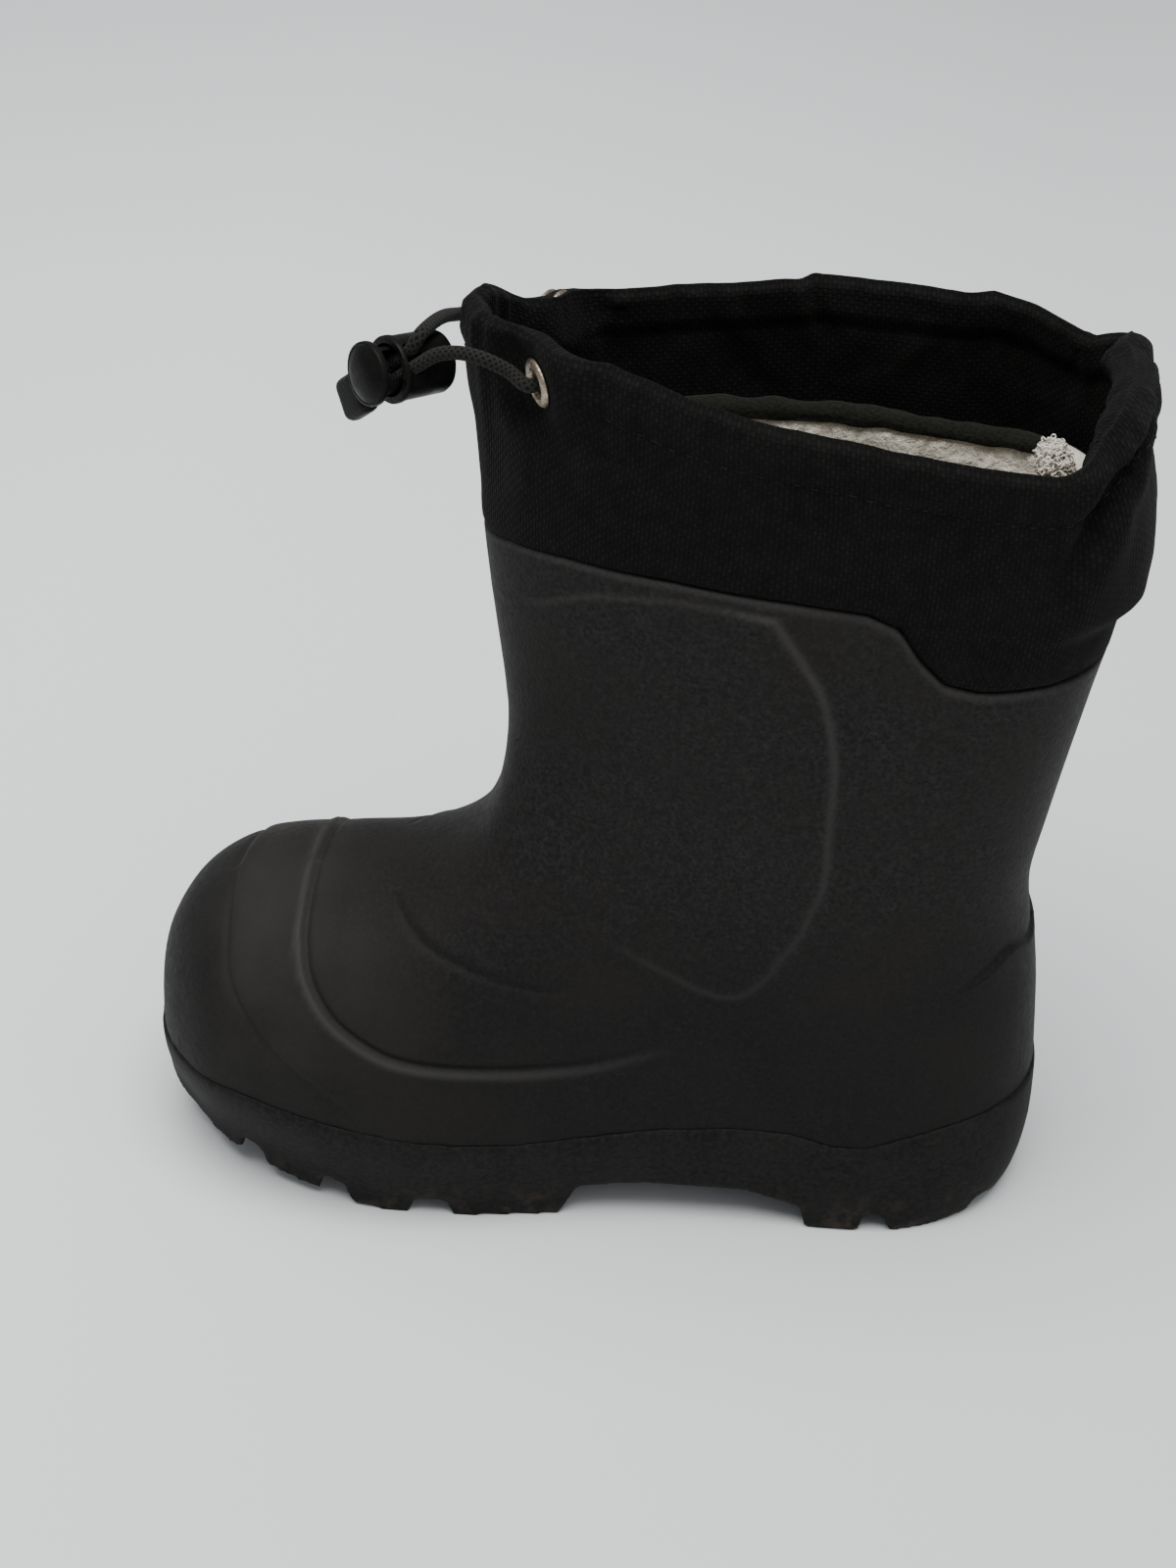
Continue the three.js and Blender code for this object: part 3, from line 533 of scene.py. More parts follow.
# Inner wall, seen only at the collar: every fifth column of the outside, and as few of its rows.
for r in range(rough.shape[0] - 1):
    for c in range(n - 1):
        a = rough_start + r * n + c
        shell_faces.append((a + n, a + n + 1, a + 1, a))
rim_row = len(fine) * columns
for c in range(n - 1):
    a = rough_start + (rough.shape[0] - 1) * n + c
    fine_edge = range(rim_row + inner_columns[c], rim_row + inner_columns[c + 1] + 1)
    shell_faces.append((*fine_edge, a + 1, a))
for c in range(columns - 1):
    shell_faces.append((pole_out, c + 1, c))
for c in range(n - 1):
    shell_faces.append((pole_in, rough_start + c, rough_start + c + 1))
# The edge along the outsole, between the outside and the inner wall.
for column, rough_column, flip in ((0, 0, False), (columns - 1, n - 1, True)):
    rough_rows = [r for r in range(rough.shape[0]) if inner_row_numbers[r] < len(TOE_ROWS)]
    first_row = 0
    for r, rough_row in enumerate(rough_rows):
        last_row = inner_row_numbers[rough_row]
        outer_edge = [k * columns + column for k in range(first_row, last_row + 1)]
        if r == 0:
            outer_edge = [pole_out, *outer_edge]
            inner_edge = [rough_start + rough_row * n + rough_column, pole_in]
        else:
            inner_edge = [rough_start + rough_row * n + rough_column,
                          rough_start + (rough_row - 1) * n + rough_column]
        face = (*outer_edge, *inner_edge)
        shell_faces.append(face if flip else tuple(reversed(face)))
        first_row = last_row
# Up the back the two ends of each row stand a little apart, and a narrow strip joins them.
heel_row = len(TOE_ROWS) - 1
heel_rough = int(np.searchsorted(inner_row_numbers, heel_row))
last_rough = rough_start + (rough.shape[0] - 1) * n
for r in range(heel_row, len(fine)):
    shell_faces.append(((r + 1) * columns - 1, r * columns, (r + 1) * columns, (r + 2) * columns - 1))
for r in range(heel_rough, rough.shape[0] - 1):
    a = rough_start + r * n
    shell_faces.append((a + 2 * n - 1, a + n, a, a + n - 1))
shell_faces.append((rim_row + columns - 1, rim_row, last_rough, last_rough + n - 1))
a = rough_start + heel_rough * n
shell_faces.append((heel_row * columns, (heel_row + 1) * columns - 1, a + n - 1, a))
upper = mesh_piece("upper_shell", np.concatenate(shell_points), shell_faces)


def run_of(points):
    """How far along a path each of its points is."""
    return np.concatenate([[0], np.cumsum(np.linalg.norm(np.diff(points, axis=0), axis=1))])


def read_at(reach, run, values):
    """Rows of values, read at a reach or reaches along a path."""
    return np.stack([np.interp(reach, run, column) for column in values.T], -1)


def unit(ways):
    return ways / np.linalg.norm(ways, axis=-1, keepdims=True)


def traced(controls, side, spacing=0.7):
    """A line on the last through (place, turn in degrees, strength) controls, at even steps."""
    controls = np.array(controls, float)
    knots = np.arange(len(controls))
    at_steps = np.linspace(0, len(controls) - 1, 24 * len(controls))
    i = np.clip(at_steps.astype(int), 0, len(controls) - 2)
    t = (at_steps - i)[:, None]
    ends = np.vstack([2 * controls[0] - controls[1], controls, 2 * controls[-1] - controls[-2]])
    read = on_curve(ends[i], ends[i + 1], ends[i + 2], ends[i + 3], t)
    points = last_points(read[:, 0], side * np.radians(np.clip(read[:, 1], 0.01, 180)))
    strength = np.interp(at_steps, knots, controls[:, 2])
    run = run_of(points)
    even = np.arange(0, run[-1], spacing)
    return read_at(even, run, points), np.interp(even, run, strength)


def distance_to(points, normals, line, side):
    """Signed millimetres from each point to a line on the skin, and the line's strength there.
    The sign is that of normal x line x side."""
    places, strength = line
    way = np.gradient(places, axis=0)
    nearest = np.empty(len(points), int)
    for start in range(0, len(points), 20000):
        block = points[start:start + 20000]
        squares = (block**2).sum(1)[:, None] - 2 * block @ places.T + (places**2).sum(1)
        nearest[start:start + 20000] = squares.argmin(1)
    offset = points - places[nearest]
    way = unit(way[nearest])
    offset_along = (offset * way).sum(1)
    inner = (nearest > 0) & (nearest < len(places) - 1)
    across = offset - way * np.where(inner, offset_along, 0)[:, None]
    sign = np.sign((np.cross(normals, way) * offset).sum(1)) * side
    return np.linalg.norm(across, axis=1) * np.where(sign == 0, 1, sign), strength[nearest]


def hump(distance, width):
    return np.exp(-(distance / width) ** 2)


# What is cast into the shell: (place, turn in degrees, strength) along each line, and how deep
# or proud it is at a distance from it, positive towards the heel or, on the panel, outwards.
TOE_RIB = [(5.65, 0, 1), (5.68, 18, 1), (5.72, 33, 1), (5.87, 46.6, 1), (6.26, 58.5, 1),
           (6.9, 66.4, 1), (7.55, 70.9, 1), (8.53, 74.6, 0.9), (9.5, 77.1, 0.8), (10.45, 78, 0.6),
           (11.27, 77.6, 0.35), (11.97, 77.4, 0)]
TOE_CAP = [(4.15, 0, 1), (4.32, 29, 1), (4.48, 50, 1), (4.95, 66, 0.9), (5.52, 76.7, 0.7),
           (6.23, 84, 0.5), (7.0, 92.3, 0.3)]
VAMP_CREASE = [(7.0, 14, 0), (7.16, 20.3, 0.6), (7.73, 36.2, 1), (8.77, 50.4, 1), (9.93, 60.9, 0.9),
               (10.69, 63.7, 0.4), (11.2, 64.5, 0)]
SHIELD = [(20.9, 33, 0.2), (21.19, 39.6, 0.4), (22.03, 51.9, 0.5), (22.53, 66, 0.45), (22.7, 77.9, 0.5),
          (22.72, 85.6, 1), (22.72, 87.4, 1), (22.62, 88.2, 1), (22.04, 93.9, 1), (21.52, 98.2, 1),
          (20.22, 102.8, 1), (18.8, 101.4, 0.9), (17.7, 96.9, 0.75), (16.9, 91.6, 0.6),
          (15.21, 82.3, 0.5), (14.18, 77.7, 0.45), (13.27, 72.7, 0.55), (12.57, 64.9, 0.5),
          (12.08, 58.5, 0)]
HEEL_LEDGE = [(17.95, 180, 1), (17.95, 168, 1), (18.0, 155.6, 1), (17.67, 144.6, 0.8),
              (17.33, 135.6, 0.5), (16.94, 127.2, 0)]
SIDE_FOLD = [(14.9, 83, 0), (15.5, 89, 0.5), (16.1, 97.5, 0.8), (16.62, 104, 1), (17.08, 109.5, 0.8),
             (17.55, 114, 0)]
CAST_LINES = {
    "rib": (TOE_RIB, lambda d: 0.6 * hump(d + 1.7, 1.0) - 0.75 * hump(d, 0.9)),
    "cap": (TOE_CAP, lambda d: 0.55 * eased(d / 1.8) * np.exp(-np.maximum(d, 0) / 12)
            - 0.45 * hump(d, 1.2)),
    "vamp": (VAMP_CREASE, lambda d: 0.3 * hump(d - 2.2, 1.6) - 0.6 * hump(d, 1.2)),
    "shield": (SHIELD, lambda d: 0.75 * eased(0.5 - d / 1.5) * np.exp(np.minimum(d, 0) / 9)
               - 0.15 * hump(d - 1.4, 0.9)),
    "ledge": (HEEL_LEDGE, lambda d: 1.0 * eased(d / 1.4) * np.exp(-np.maximum(d, 0) / 12)
              - 0.25 * hump(d, 0.9)),
    "fold": (SIDE_FOLD, lambda d: 0.12 * hump(d - 2.4, 1.8) - 0.35 * hump(d, 1.3)),
}
lines = {(name, side): traced(controls, side)
         for name, (controls, _) in CAST_LINES.items() for side in (1, -1)}


def skin_of(piece):
    """A piece's points, in millimetres, and its normals, each as along, across and up."""
    points, normals = (np.empty(len(piece.data.vertices) * 3, np.float32) for _ in range(2))
    piece.data.vertices.foreach_get("co", points)
    piece.data.vertices.foreach_get("normal", normals)
    x, y, z = points.astype(float).reshape(-1, 3).T / mm
    nx, ny, nz = normals.astype(float).reshape(-1, 3).T
    return np.stack([HEEL - y, x, z], -1), np.stack([-ny, nx, nz], -1)


def set_points(piece, points):
    piece.data.vertices.foreach_set("co", points.astype(np.float32).ravel())
    piece.data.update()


def give_attribute(piece, name, values):
    layer = piece.data.attributes.get(name) or piece.data.attributes.new(name, "FLOAT", "POINT")
    layer.data.foreach_set("value", np.asarray(values, np.float32))


def read_attribute(piece, name):
    values = np.empty(len(piece.data.vertices), np.float32)
    piece.data.attributes[name].data.foreach_get("value", values)
    return values


def made_finer(piece, chosen):
    """Subdivides the faces whose points are all chosen."""
    bpy.context.view_layer.objects.active = piece
    piece.select_set(True)
    bpy.ops.object.mode_set(mode="EDIT")
    bpy.ops.mesh.select_mode(type="VERT")
    bpy.ops.mesh.select_all(action="DESELECT")
    bpy.ops.object.mode_set(mode="OBJECT")
    piece.data.vertices.foreach_set("select", chosen)
    bpy.ops.object.mode_set(mode="EDIT")
    bpy.ops.mesh.select_mode(type="VERT")
    bpy.ops.mesh.subdivide(number_cuts=1, quadcorner="INNERVERT")
    bpy.ops.object.mode_set(mode="OBJECT")
    piece.select_set(False)


def over_collar(along, up):
    """Millimetres from the collar line in side view, positive above it."""
    shape = np.shape(along)
    spot = np.stack([np.ravel(along), np.ravel(up)], -1)
    least = np.full(len(spot), np.inf)
    for start, end in zip(COLLAR_LINE.T[:-1], COLLAR_LINE.T[1:]):
        way = end - start
        share = np.clip((spot - start) @ way / (way @ way), 0, 1)
        least = np.minimum(least, np.linalg.norm(spot - start - share[:, None] * way, axis=1))
    above = np.ravel(up) >= np.interp(np.ravel(along), *COLLAR_LINE)
    return np.where(above, least, -least).reshape(shape)


def waves(places, pitch):
    """A soft unevenness of about one, with this many waves to the millimetre."""
    return np.array([noise_at(Vector(p) * pitch) for p in places])


skin_share = np.zeros(len(upper.data.vertices))
skin_share[:len(outside) * columns] = 1
skin_share[pole_out] = 1
give_attribute(upper, "skin", skin_share)
merged(upper)
# The mesh is made finer along the cast lines, twice, in bands of these half widths.
FINE_BANDS = (3.0, 1.9)
for band_half in FINE_BANDS:
    places, normals = skin_of(upper)
    skin_share = read_attribute(upper, "skin")
    close = np.zeros(len(places), bool)
    for (name, side), line in lines.items():
        distance, _ = distance_to(places, normals, line, side)
        close |= (np.abs(distance) < band_half) & (skin_share > 0.99)
    made_finer(upper, close)

places, normals = skin_of(upper)
skin_share = read_attribute(upper, "skin")
rise = np.zeros(len(places))
proud = np.zeros(len(places))
for (name, side), line in lines.items():
    distance, strength = distance_to(places, normals, line, side)
    near_side = eased((places[:, 1] * side + 4) / 8)
    profile = CAST_LINES[name][1]
    rise += profile(distance) * strength * near_side * skin_share
    # proud marks where the foam gets a painted highlight: along the shield's edge and on the rib's toe side.
    if name in ("shield", "rib"):
        edge = hump(distance - (0.2 if name == "shield" else -1.7), 0.9)
        proud = np.maximum(proud, edge * strength * near_side * skin_share)
# Cast foam is never quite even: broad swells of a few tenths of a millimetre.
rise += 0.35 * waves(places, 0.045) * skin_share
places += normals * rise[:, None]
# The collar's edge gets the same painted highlight.
collar_edge = 0.75 * hump(over_collar(places[:, 0], places[:, 2]) + 0.7, 0.6)
proud = np.maximum(proud, collar_edge)
set_points(upper, in_frame(places))
give_attribute(upper, "proud", proud)

# Dust lies on the toe, thickest between the cap and the rib, and fades up the instep.
toe_share = eased((places[:, 0] - 112) / 45) * eased((normals[:, 2] + 0.5) / 1.1)
between = eased((places[:, 0] - 150) / 10) * eased((181 - places[:, 0]) / 8)
front_share = eased((places[:, 0] - 178) / 12)
give_attribute(upper, "dust", toe_share * (0.45 + 0.55 * between) * (1 - 0.9 * front_share))
give_attribute(upper, "grain", 0.35 + 0.65 * eased((places[:, 2] - 55) / 45))

foam = new_material("moulded_foam", 0.6, specular=0.06)
foam_place = on_piece(foam)
pebble = noise(foam, foam_place, 1150, detail=3, low=0.32, high=0.68, roughness=0.62)
mottle = noise(foam, foam_place, 620, detail=2, low=0.25, high=0.75)
cloud = noise(foam, foam_place, 42, detail=3, low=0.3, high=0.7)
grain_gain = add_node(foam, "Attribute", attribute_name="grain").outputs["Fac"]
speckle = product(foam, pebble, grain_gain, maths(foam, "ADD", mottle, 0.35))
foam_colour = blended(foam, speckle, (0.0072, 0.0070, 0.0068), (0.0245, 0.0234, 0.0226))
half_cloud = product(foam, cloud, 0.5)
foam_colour = blended(foam, half_cloud, foam_colour, (0.016, 0.0140, 0.0128))
dust = product(foam, add_node(foam, "Attribute", attribute_name="dust").outputs["Fac"],
               maths(foam, "ADD", half_cloud, 0.35))
foam_colour = blended(foam, dust, foam_colour, (0.0275, 0.0256, 0.0232))
# Painted highlight: the foam is lighter along the raised edges and the collar's edge, where proud says.
painted_edge_highlight = product(foam, add_node(foam, "Attribute", attribute_name="proud").outputs["Fac"], 0.45)
foam_colour = blended(foam, painted_edge_highlight, foam_colour, (0.052, 0.050, 0.048))
foam_rough = ranged(foam, mottle, to=(0.52, 0.68))
foam_height = product(foam, pebble, maths(foam, "ADD", grain_gain, 0.15))
dressed(foam, foam_colour, foam_rough, foam_height, distance=0.09, strength=0.8)
upper.data.materials.append(foam)
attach(upper, "boot")
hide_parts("upper")

# ---- Outsole.
# A foam tray in a tougher mix, fused to the shell along the joint: lugs under the forefoot and
# heel, a hollow arch, toe spring, and a footbed inside.
SOLE_PROUD = 0.6
LUG_DEPTH = 4.5
LUG_SLOPE = 1.2
SOLE_VOXEL = 0.85
SOLE_GROOVES = [(8.5, 13.5), (31, 37.5), (127, 136.5), (150, 157), (170, 176)]
SOLE_CHANNELS = [(14, 50), (104, 182)]
CHANNEL_HALF = 4.5
ARCH = [(49, -8), (49.2, 0), (50.5, 5.8), (62, 9.4), (88, 10), (99, 8.4), (103.5, 0), (104, -8)]


def last_body(name, places, inset, floor_rise=None, per_side=48):
    """A closed body of the last from the toe to a place up the shaft."""
    turn = np.concatenate([np.linspace(0, np.pi, per_side), -np.linspace(np.pi, 0, per_side)[:-1]])
    rings = np.array([last_points(np.full(turn.shape, p), turn, inset, floor_rise) for p in places])
    count = len(turn)
    points = rings.reshape(-1, 3)
    tip = [LAST[0][0] - inset, (LAST[0][6] - LAST[0][7]) / 2, rings[0, :, 2].mean()]
    points = np.vstack([points, tip, rings[-1].mean(0)])
    faces = grid_faces(len(places), count)
    start = (len(places) - 1) * count
    for k in range(count):
        faces.append((len(points) - 2, (k + 1) % count, k))
        faces.append((len(points) - 1, start + k, start + (k + 1) % count))
    body = mesh_piece(name, in_frame(points), faces)
    merged(body)
    return body


def across_prism(name, outline, half_span=60):
    """A side-view outline of (along, up), carried across the boot."""
    count = len(outline)
    points = [(a, x, u) for x in (-half_span, half_span) for a, u in outline]
    faces = [tuple(range(count)), tuple(reversed(range(count, 2 * count)))]
    faces += [(k, k + count, (k + 1) % count + count, (k + 1) % count) for k in range(count)]
    body = mesh_piece(name, in_frame(np.array(points, float)), faces, smooth=False)
    merged(body)
    return body


def cut_by(piece, cutter):
    """Takes the cutter out of the piece, and removes the cutter."""
    knife = piece.modifiers.new("cut", "BOOLEAN")
    knife.operation = "DIFFERENCE"
    knife.solver = "MANIFOLD"
    knife.object = cutter
    bpy.context.view_layer.objects.active = piece
    bpy.ops.object.modifier_apply(modifier=knife.name)
    bpy.data.objects.remove(cutter)


sole_places = np.concatenate([np.linspace(0, 1, 12)[1:], np.linspace(1, HEEL_ROW, 100)[1:],
                              np.linspace(HEEL_ROW, SHAFT_ROW, 40)[1:]])
outsole = last_body("outsole_foam", sole_places, -SOLE_PROUD)
joint_along = np.linspace(*JOINT_LINE[0, [0, -1]], 120)
joint_top = zip(joint_along, np.interp(joint_along, *JOINT_LINE) + GAP / 2)
cut_by(outsole, across_prism("joint", [(-20, 200), *joint_top, (205, 200)]))
cut_by(outsole, last_body("footroom", np.linspace(0.3, 19, 60), SHELL_WALL, 0, 32))
sole_low = section(np.arange(HEEL_ROW, 0.9, -0.25))
low_along, low_up = sole_low["low_along"], sole_low["low_up"]
cut_by(outsole, across_prism("arch", ARCH))
for start, end in SOLE_GROOVES:
    floor_start, floor_end = np.interp([start, end], low_along, low_up)
    cut_by(outsole, across_prism("groove", [
        (start, floor_start - 8), (start, floor_start), (start + LUG_SLOPE, floor_start + LUG_DEPTH),
        (end - LUG_SLOPE, floor_end + LUG_DEPTH), (end, floor_end), (end, floor_end - 8)]))
for start, end in SOLE_CHANNELS:
    roof = [(a, np.interp(a, low_along, low_up) + 0.8 * LUG_DEPTH) for a in np.linspace(start, end, 9)]
    cut_by(outsole, across_prism("channel", [(start, -10), *roof, (end, -10)], CHANNEL_HALF))
cut_by(outsole, across_prism("ground", [(-30, -20), (-30, 0), (230, 0), (230, -20)]))
remesh = outsole.modifiers.new("moulded", "REMESH")
remesh.mode = "VOXEL"
remesh.voxel_size = SOLE_VOXEL * mm
soften = outsole.modifiers.new("soft_edges", "SMOOTH")
soften.factor = 0.5
soften.iterations = 3
bpy.context.view_layer.objects.active = outsole
for name in ("moulded", "soft_edges"):
    bpy.ops.object.modifier_apply(modifier=name)
smoothed(outsole)
places, _ = skin_of(outsole)
places[:, 2] = np.maximum(places[:, 2], 0.0)
set_points(outsole, in_frame(places))

sole_foam = new_material("sole_foam", 0.65, specular=0.06)
sole_place = on_piece(sole_foam)
sole_grain = noise(sole_foam, sole_place, 900, detail=3, low=0.32, high=0.68)
sole_cloud = noise(sole_foam, sole_place, 60, detail=4, low=0.35, high=0.7)
sole_up = add_node(sole_foam, "SeparateXYZ", {"Vector": sole_place}).outputs["Z"]
# Scuffs and dried dirt sit low on the lugs.
scuff = noise(sole_foam, sole_place, 240, detail=4, low=0.5, high=0.68)
dirt = product(sole_foam, scuff, ranged(sole_foam, sole_up, 13 * mm, 0.0), 0.4)
sole_colour = blended(sole_foam, sole_grain, (0.0060, 0.0057, 0.0055), (0.0145, 0.0138, 0.0132))
sole_colour = blended(sole_foam, product(sole_foam, sole_cloud, 0.4), sole_colour, (0.019, 0.018, 0.017))
sole_colour = blended(sole_foam, dirt, sole_colour, (0.070, 0.056, 0.042))
dressed(sole_foam, sole_colour, height=sole_grain, distance=0.06, strength=0.7)
outsole.data.materials.clear()
outsole.data.materials.append(sole_foam)
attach(outsole, "boot")
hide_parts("outsole")

# ---- Liner.
# A bootie of wool pile on a knitted back, sewn up in a loop of dark tape along its top. It
# stands loose inside the shell and the lower half of the cuff.
LINER_WALL = 4.0
LINER_TOP = 171.0
LINER_ROUND = 1.5
CUFF_WALL = 1.8
CUFF_TUCKED = SHELL_WALL + GAP
TUCK = 9.0
BINDING = np.array([(-400, 2.0), (30, 2.1), (55, 3.0), (400, 3.2)]).T


def liner_inset(along, up):
    risen = (up - np.interp(along, *COLLAR_LINE) + TUCK + 12) / 9
    return SHELL_WALL + GAP + (CUFF_TUCKED + CUFF_WALL - SHELL_WALL) * eased(risen)


def all_round(half):
    """Turns of a closed ring, from the front round the outer side, with half of them to a side."""
    return np.concatenate([np.linspace(0, np.pi, half + 1), -np.linspace(np.pi, 0, half + 1)[1:-1]])


def tube_faces(rows, count):
    """Quads of closed rows, the last of them joined to the first."""
    last = (rows - 1) * count
    return grid_faces(rows, count) + [
        (last + k, last + (k + 1) % count, (k + 1) % count, k) for k in range(count)]


liner_turn = all_round(120)
LINER_EDGE = np.array([(-400, 165.5), (12, 165.8), (25, 166.2), (33, 167.5), (42, 169.2), (60, 170.2),
                       (76, LINER_TOP), (400, LINER_TOP)]).T
# The inner wall's first row is further back than the outer one's, by the wool's thickness.
LINER_INNER_TIP = 1.4
liner_places = np.concatenate([np.linspace(0.5, HEEL_ROW, 70),
                               np.linspace(HEEL_ROW, SHAFT_ROW, 34)[1:]])


def liner_rows(extra):
    def inset(along, up):
        return liner_inset(along, up) + extra
    rise = GAP + extra
    start = LINER_INNER_TIP if extra else liner_places[0]
    places = np.interp(liner_places, [liner_places[0], HEEL_ROW, SHAFT_ROW], [start, HEEL_ROW, SHAFT_ROW])
    rows = [last_points(np.full(liner_turn.shape, p), liner_turn, inset, rise) for p in places]
    top = place_at(LINER_EDGE, liner_turn, inset, -LINER_ROUND)
    for share in np.linspace(0, 1, 64)[1:]:
        rows.append(last_points(SHAFT_ROW + (top - SHAFT_ROW) * share, liner_turn, inset, rise))
    return np.array(rows)


liner_out, liner_in = liner_rows(0.0), liner_rows(LINER_WALL)
count = len(liner_turn)
edge = rolled_over(liner_out[-1], liner_in[-1], 6, LINER_ROUND)
body = np.concatenate([liner_out, edge, liner_in[::-1]])
liner_points = np.vstack([body.reshape(-1, 3), liner_out[0].mean(0) + [2, 0, 0],
                          liner_in[0].mean(0) + [1, 0, 0]])
liner_faces = grid_faces(len(body), count)
for k in range(count):
    liner_faces.append((len(liner_points) - 2, (k + 1) % count, k))
    start = (len(body) - 1) * count
    liner_faces.append((len(liner_points) - 1, start + k, start + (k + 1) % count))
liner = mesh_piece("liner_wool_pile", in_frame(liner_points), liner_faces)
inner_side = np.zeros(len(liner_points))
inner_side[len(liner_out) * count:len(body) * count] = 1
give_attribute(liner, "pile", inner_side)
merged(liner)
places, normals = skin_of(liner)
pile = read_attribute(liner, "pile")
lumps = np.abs(waves(places, 0.33)) + 0.5 * np.abs(waves(places, 0.8))
tape_end = np.interp(places[:, 0], *LINER_EDGE) - np.interp(places[:, 0], *BINDING)
under_tape = eased((tape_end + 0.5 - places[:, 2]) / 3)
TUFT_AT = np.array([(6.0, -9.0, 165.0), (6.5, -14.0, 164.0)])
near_tuft = np.linalg.norm(places[:, None] - TUFT_AT, axis=2).min(1)
tuft_share = pile * hump(near_tuft, 5)
places += normals * (pile * np.maximum(under_tape, tuft_share) * (2.6 * lumps - 0.6))[:, None]
places += tuft_share[:, None] * [2.2, 0.3, 3.2]
set_points(liner, in_frame(places))

wool = new_material("wool_pile", 0.95, specular=0.1, sheen=0.5)
wool_place = on_piece(wool)
curl = noise(wool, wool_place, 520, detail=4, low=0.3, high=0.7, roughness=0.7)
clump = noise(wool, wool_place, 190, detail=2, low=0.3, high=0.7)
wool_colour = blended(wool, clump, (0.62, 0.55, 0.43), (0.84, 0.79, 0.67))
wool_colour = blended(wool, product(wool, curl, 0.5), wool_colour, (0.90, 0.86, 0.76))
dressed(wool, wool_colour, height=maths(wool, "ADD", curl, clump), distance=0.7)
liner.data.materials.append(wool)
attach(liner, "boot")
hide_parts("liner")

def rod_faces(rings, sides, start=0):
    """Faces of a rod of rings of points, with both its ends closed."""
    last = start + (rings - 1) * sides
    return grid_faces(rings, sides, start=start) + [
        tuple(reversed(range(start, start + sides))), tuple(range(last, last + sides))]


# Loose curls of the pile stand up under the tape, and hang over it in a tuft at the heel.
CURLS, TUFT = 2400, 800
CURL_RINGS, CURL_SIDES = 8, 4
rng = np.random.default_rng(7)
band = liner_in[-30:]
row, column = rng.integers(0, len(band) - 8, CURLS), rng.integers(0, band.shape[1], CURLS)
roots = band[row, column] + rng.normal(0, 0.5, (CURLS, 3))
middle = band.mean((0, 1))
inwards = unit((middle - roots) * [1, 1, 0])
ball = unit(rng.normal(0, 1, (TUFT, 3)))
tuft_roots = (TUFT_AT[rng.integers(0, 2, TUFT)] + [1.4, 0, 2.0]
              + ball * [2.6, 3.4, 3.2] * rng.uniform(0.6, 1, (TUFT, 1)))
roots = np.vstack([roots, tuft_roots])
inwards = np.vstack([inwards, ball])
aside = unit(np.cross(inwards, rng.normal(0, 1, roots.shape)))
third = np.cross(inwards, aside)
size = rng.uniform(0.35, 0.75, len(roots))[:, None, None]
turn = np.linspace(-0.6, rng.uniform(3.4, 5.6, len(roots)), CURL_RINGS).T[..., None]
drift = np.linspace(-0.6, 0.6, CURL_RINGS)[None, :, None] * rng.normal(0, 1, (len(roots), 1, 1))
line = (roots[:, None] + inwards[:, None] * (size * (1 - np.cos(turn)) + 0.2)
        + aside[:, None] * size * np.sin(turn) + third[:, None] * drift)
way = unit(np.gradient(line, axis=1))
flat = unit(np.cross(way, third[:, None] + 0.1))
up_way = np.cross(way, flat)
thick = 0.2 * np.array([0.5, 0.9, 1, 1, 1, 1, 0.8, 0.35])[None, :, None]
tube = np.stack([line + thick * (flat * math.cos(a) + up_way * math.sin(a))
                 for a in np.arange(CURL_SIDES) * math.pi / 2], 2)
curl_faces = []
for k in range(len(roots)):
    curl_faces += rod_faces(CURL_RINGS, CURL_SIDES, k * CURL_RINGS * CURL_SIDES)
curls = mesh_piece("liner_wool_curls", in_frame(tube.reshape(-1, 3)), curl_faces)
curls.data.materials.append(wool)
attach(curls, "boot")

# The tape is folded over the liner's top edge and stands a little proud of the pile.
TAPE_TOP = -1.2
TAPE_ROUND = 1.7
edge_along = liner_out[-1][:, 0]
tape_deep = np.interp(edge_along, *BINDING)
tape_rows = []
for side_extra, shares in ((-0.5, np.linspace(1, 0, 6)), (LINER_WALL + 1.0, np.linspace(0, 1, 6))):
    lifts = [TAPE_TOP - share * (tape_deep + TAPE_TOP) for share in shares]
    def tape_inset(along, up, extra=side_extra):
        return liner_inset(along, up) + extra
    band = [last_points(place_at(LINER_EDGE, liner_turn, tape_inset, lift), liner_turn, tape_inset)
            for lift in lifts]
    if tape_rows:
        tape_rows += rolled_over(tape_rows[-1], band[0], 6, TAPE_ROUND)
    tape_rows += band
tape_rows = np.array(tape_rows)
binding = mesh_piece("liner_binding", in_frame(tape_rows).reshape(-1, 3), tube_faces(len(tape_rows), count))
merged(binding)
places, normals = skin_of(binding)
places += normals * 0.6 * waves(places, 0.2)[:, None]
set_points(binding, in_frame(places))
tape = new_material("binding_tape", 0.9, specular=0.08, sheen=0.05)
tape_place = on_piece(tape)
tape_grain = noise(tape, tape_place, 1400, detail=2, low=0.3, high=0.7)
dressed(tape, blended(tape, tape_grain, (0.0036, 0.0038, 0.0026), (0.0095, 0.0096, 0.0068)),
        height=tape_grain, distance=0.2)
binding.data.materials.append(tape)
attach(binding, "boot")

# ---- Cuff.
# A tube of black oxford cloth, stitched inside the collar and turned over a drawcord along its
# top edge. The cord gathers it, so it lies in soft folds from the eyelets and at the back.
RIM_LINES = {
    1: np.array([(-20, 196), (-8, 196), (-4, 194), (0, 188.5), (4, 185.8), (10, 184.8), (20, 186),
                 (40, 189.4), (62, 193.6), (78, 197), (92, 200.6), (104, 203.2), (112, 203.6),
                 (119, 203), (135, 203)]).T,
    -1: np.array([(-20, 196), (-8, 195.6), (-5, 191), (0, 187.5), (5, 188.6), (12, 191.3), (20, 193),
                  (26, 192.6), (35, 193.8), (43, 194.4), (54, 195.4), (60, 194.6), (76, 193.6),
                  (89, 193.6), (99, 194.6), (104, 195.8), (109, 195.4), (114, 196.6), (118, 201),
                  (120, 203), (135, 203)]).T,
}
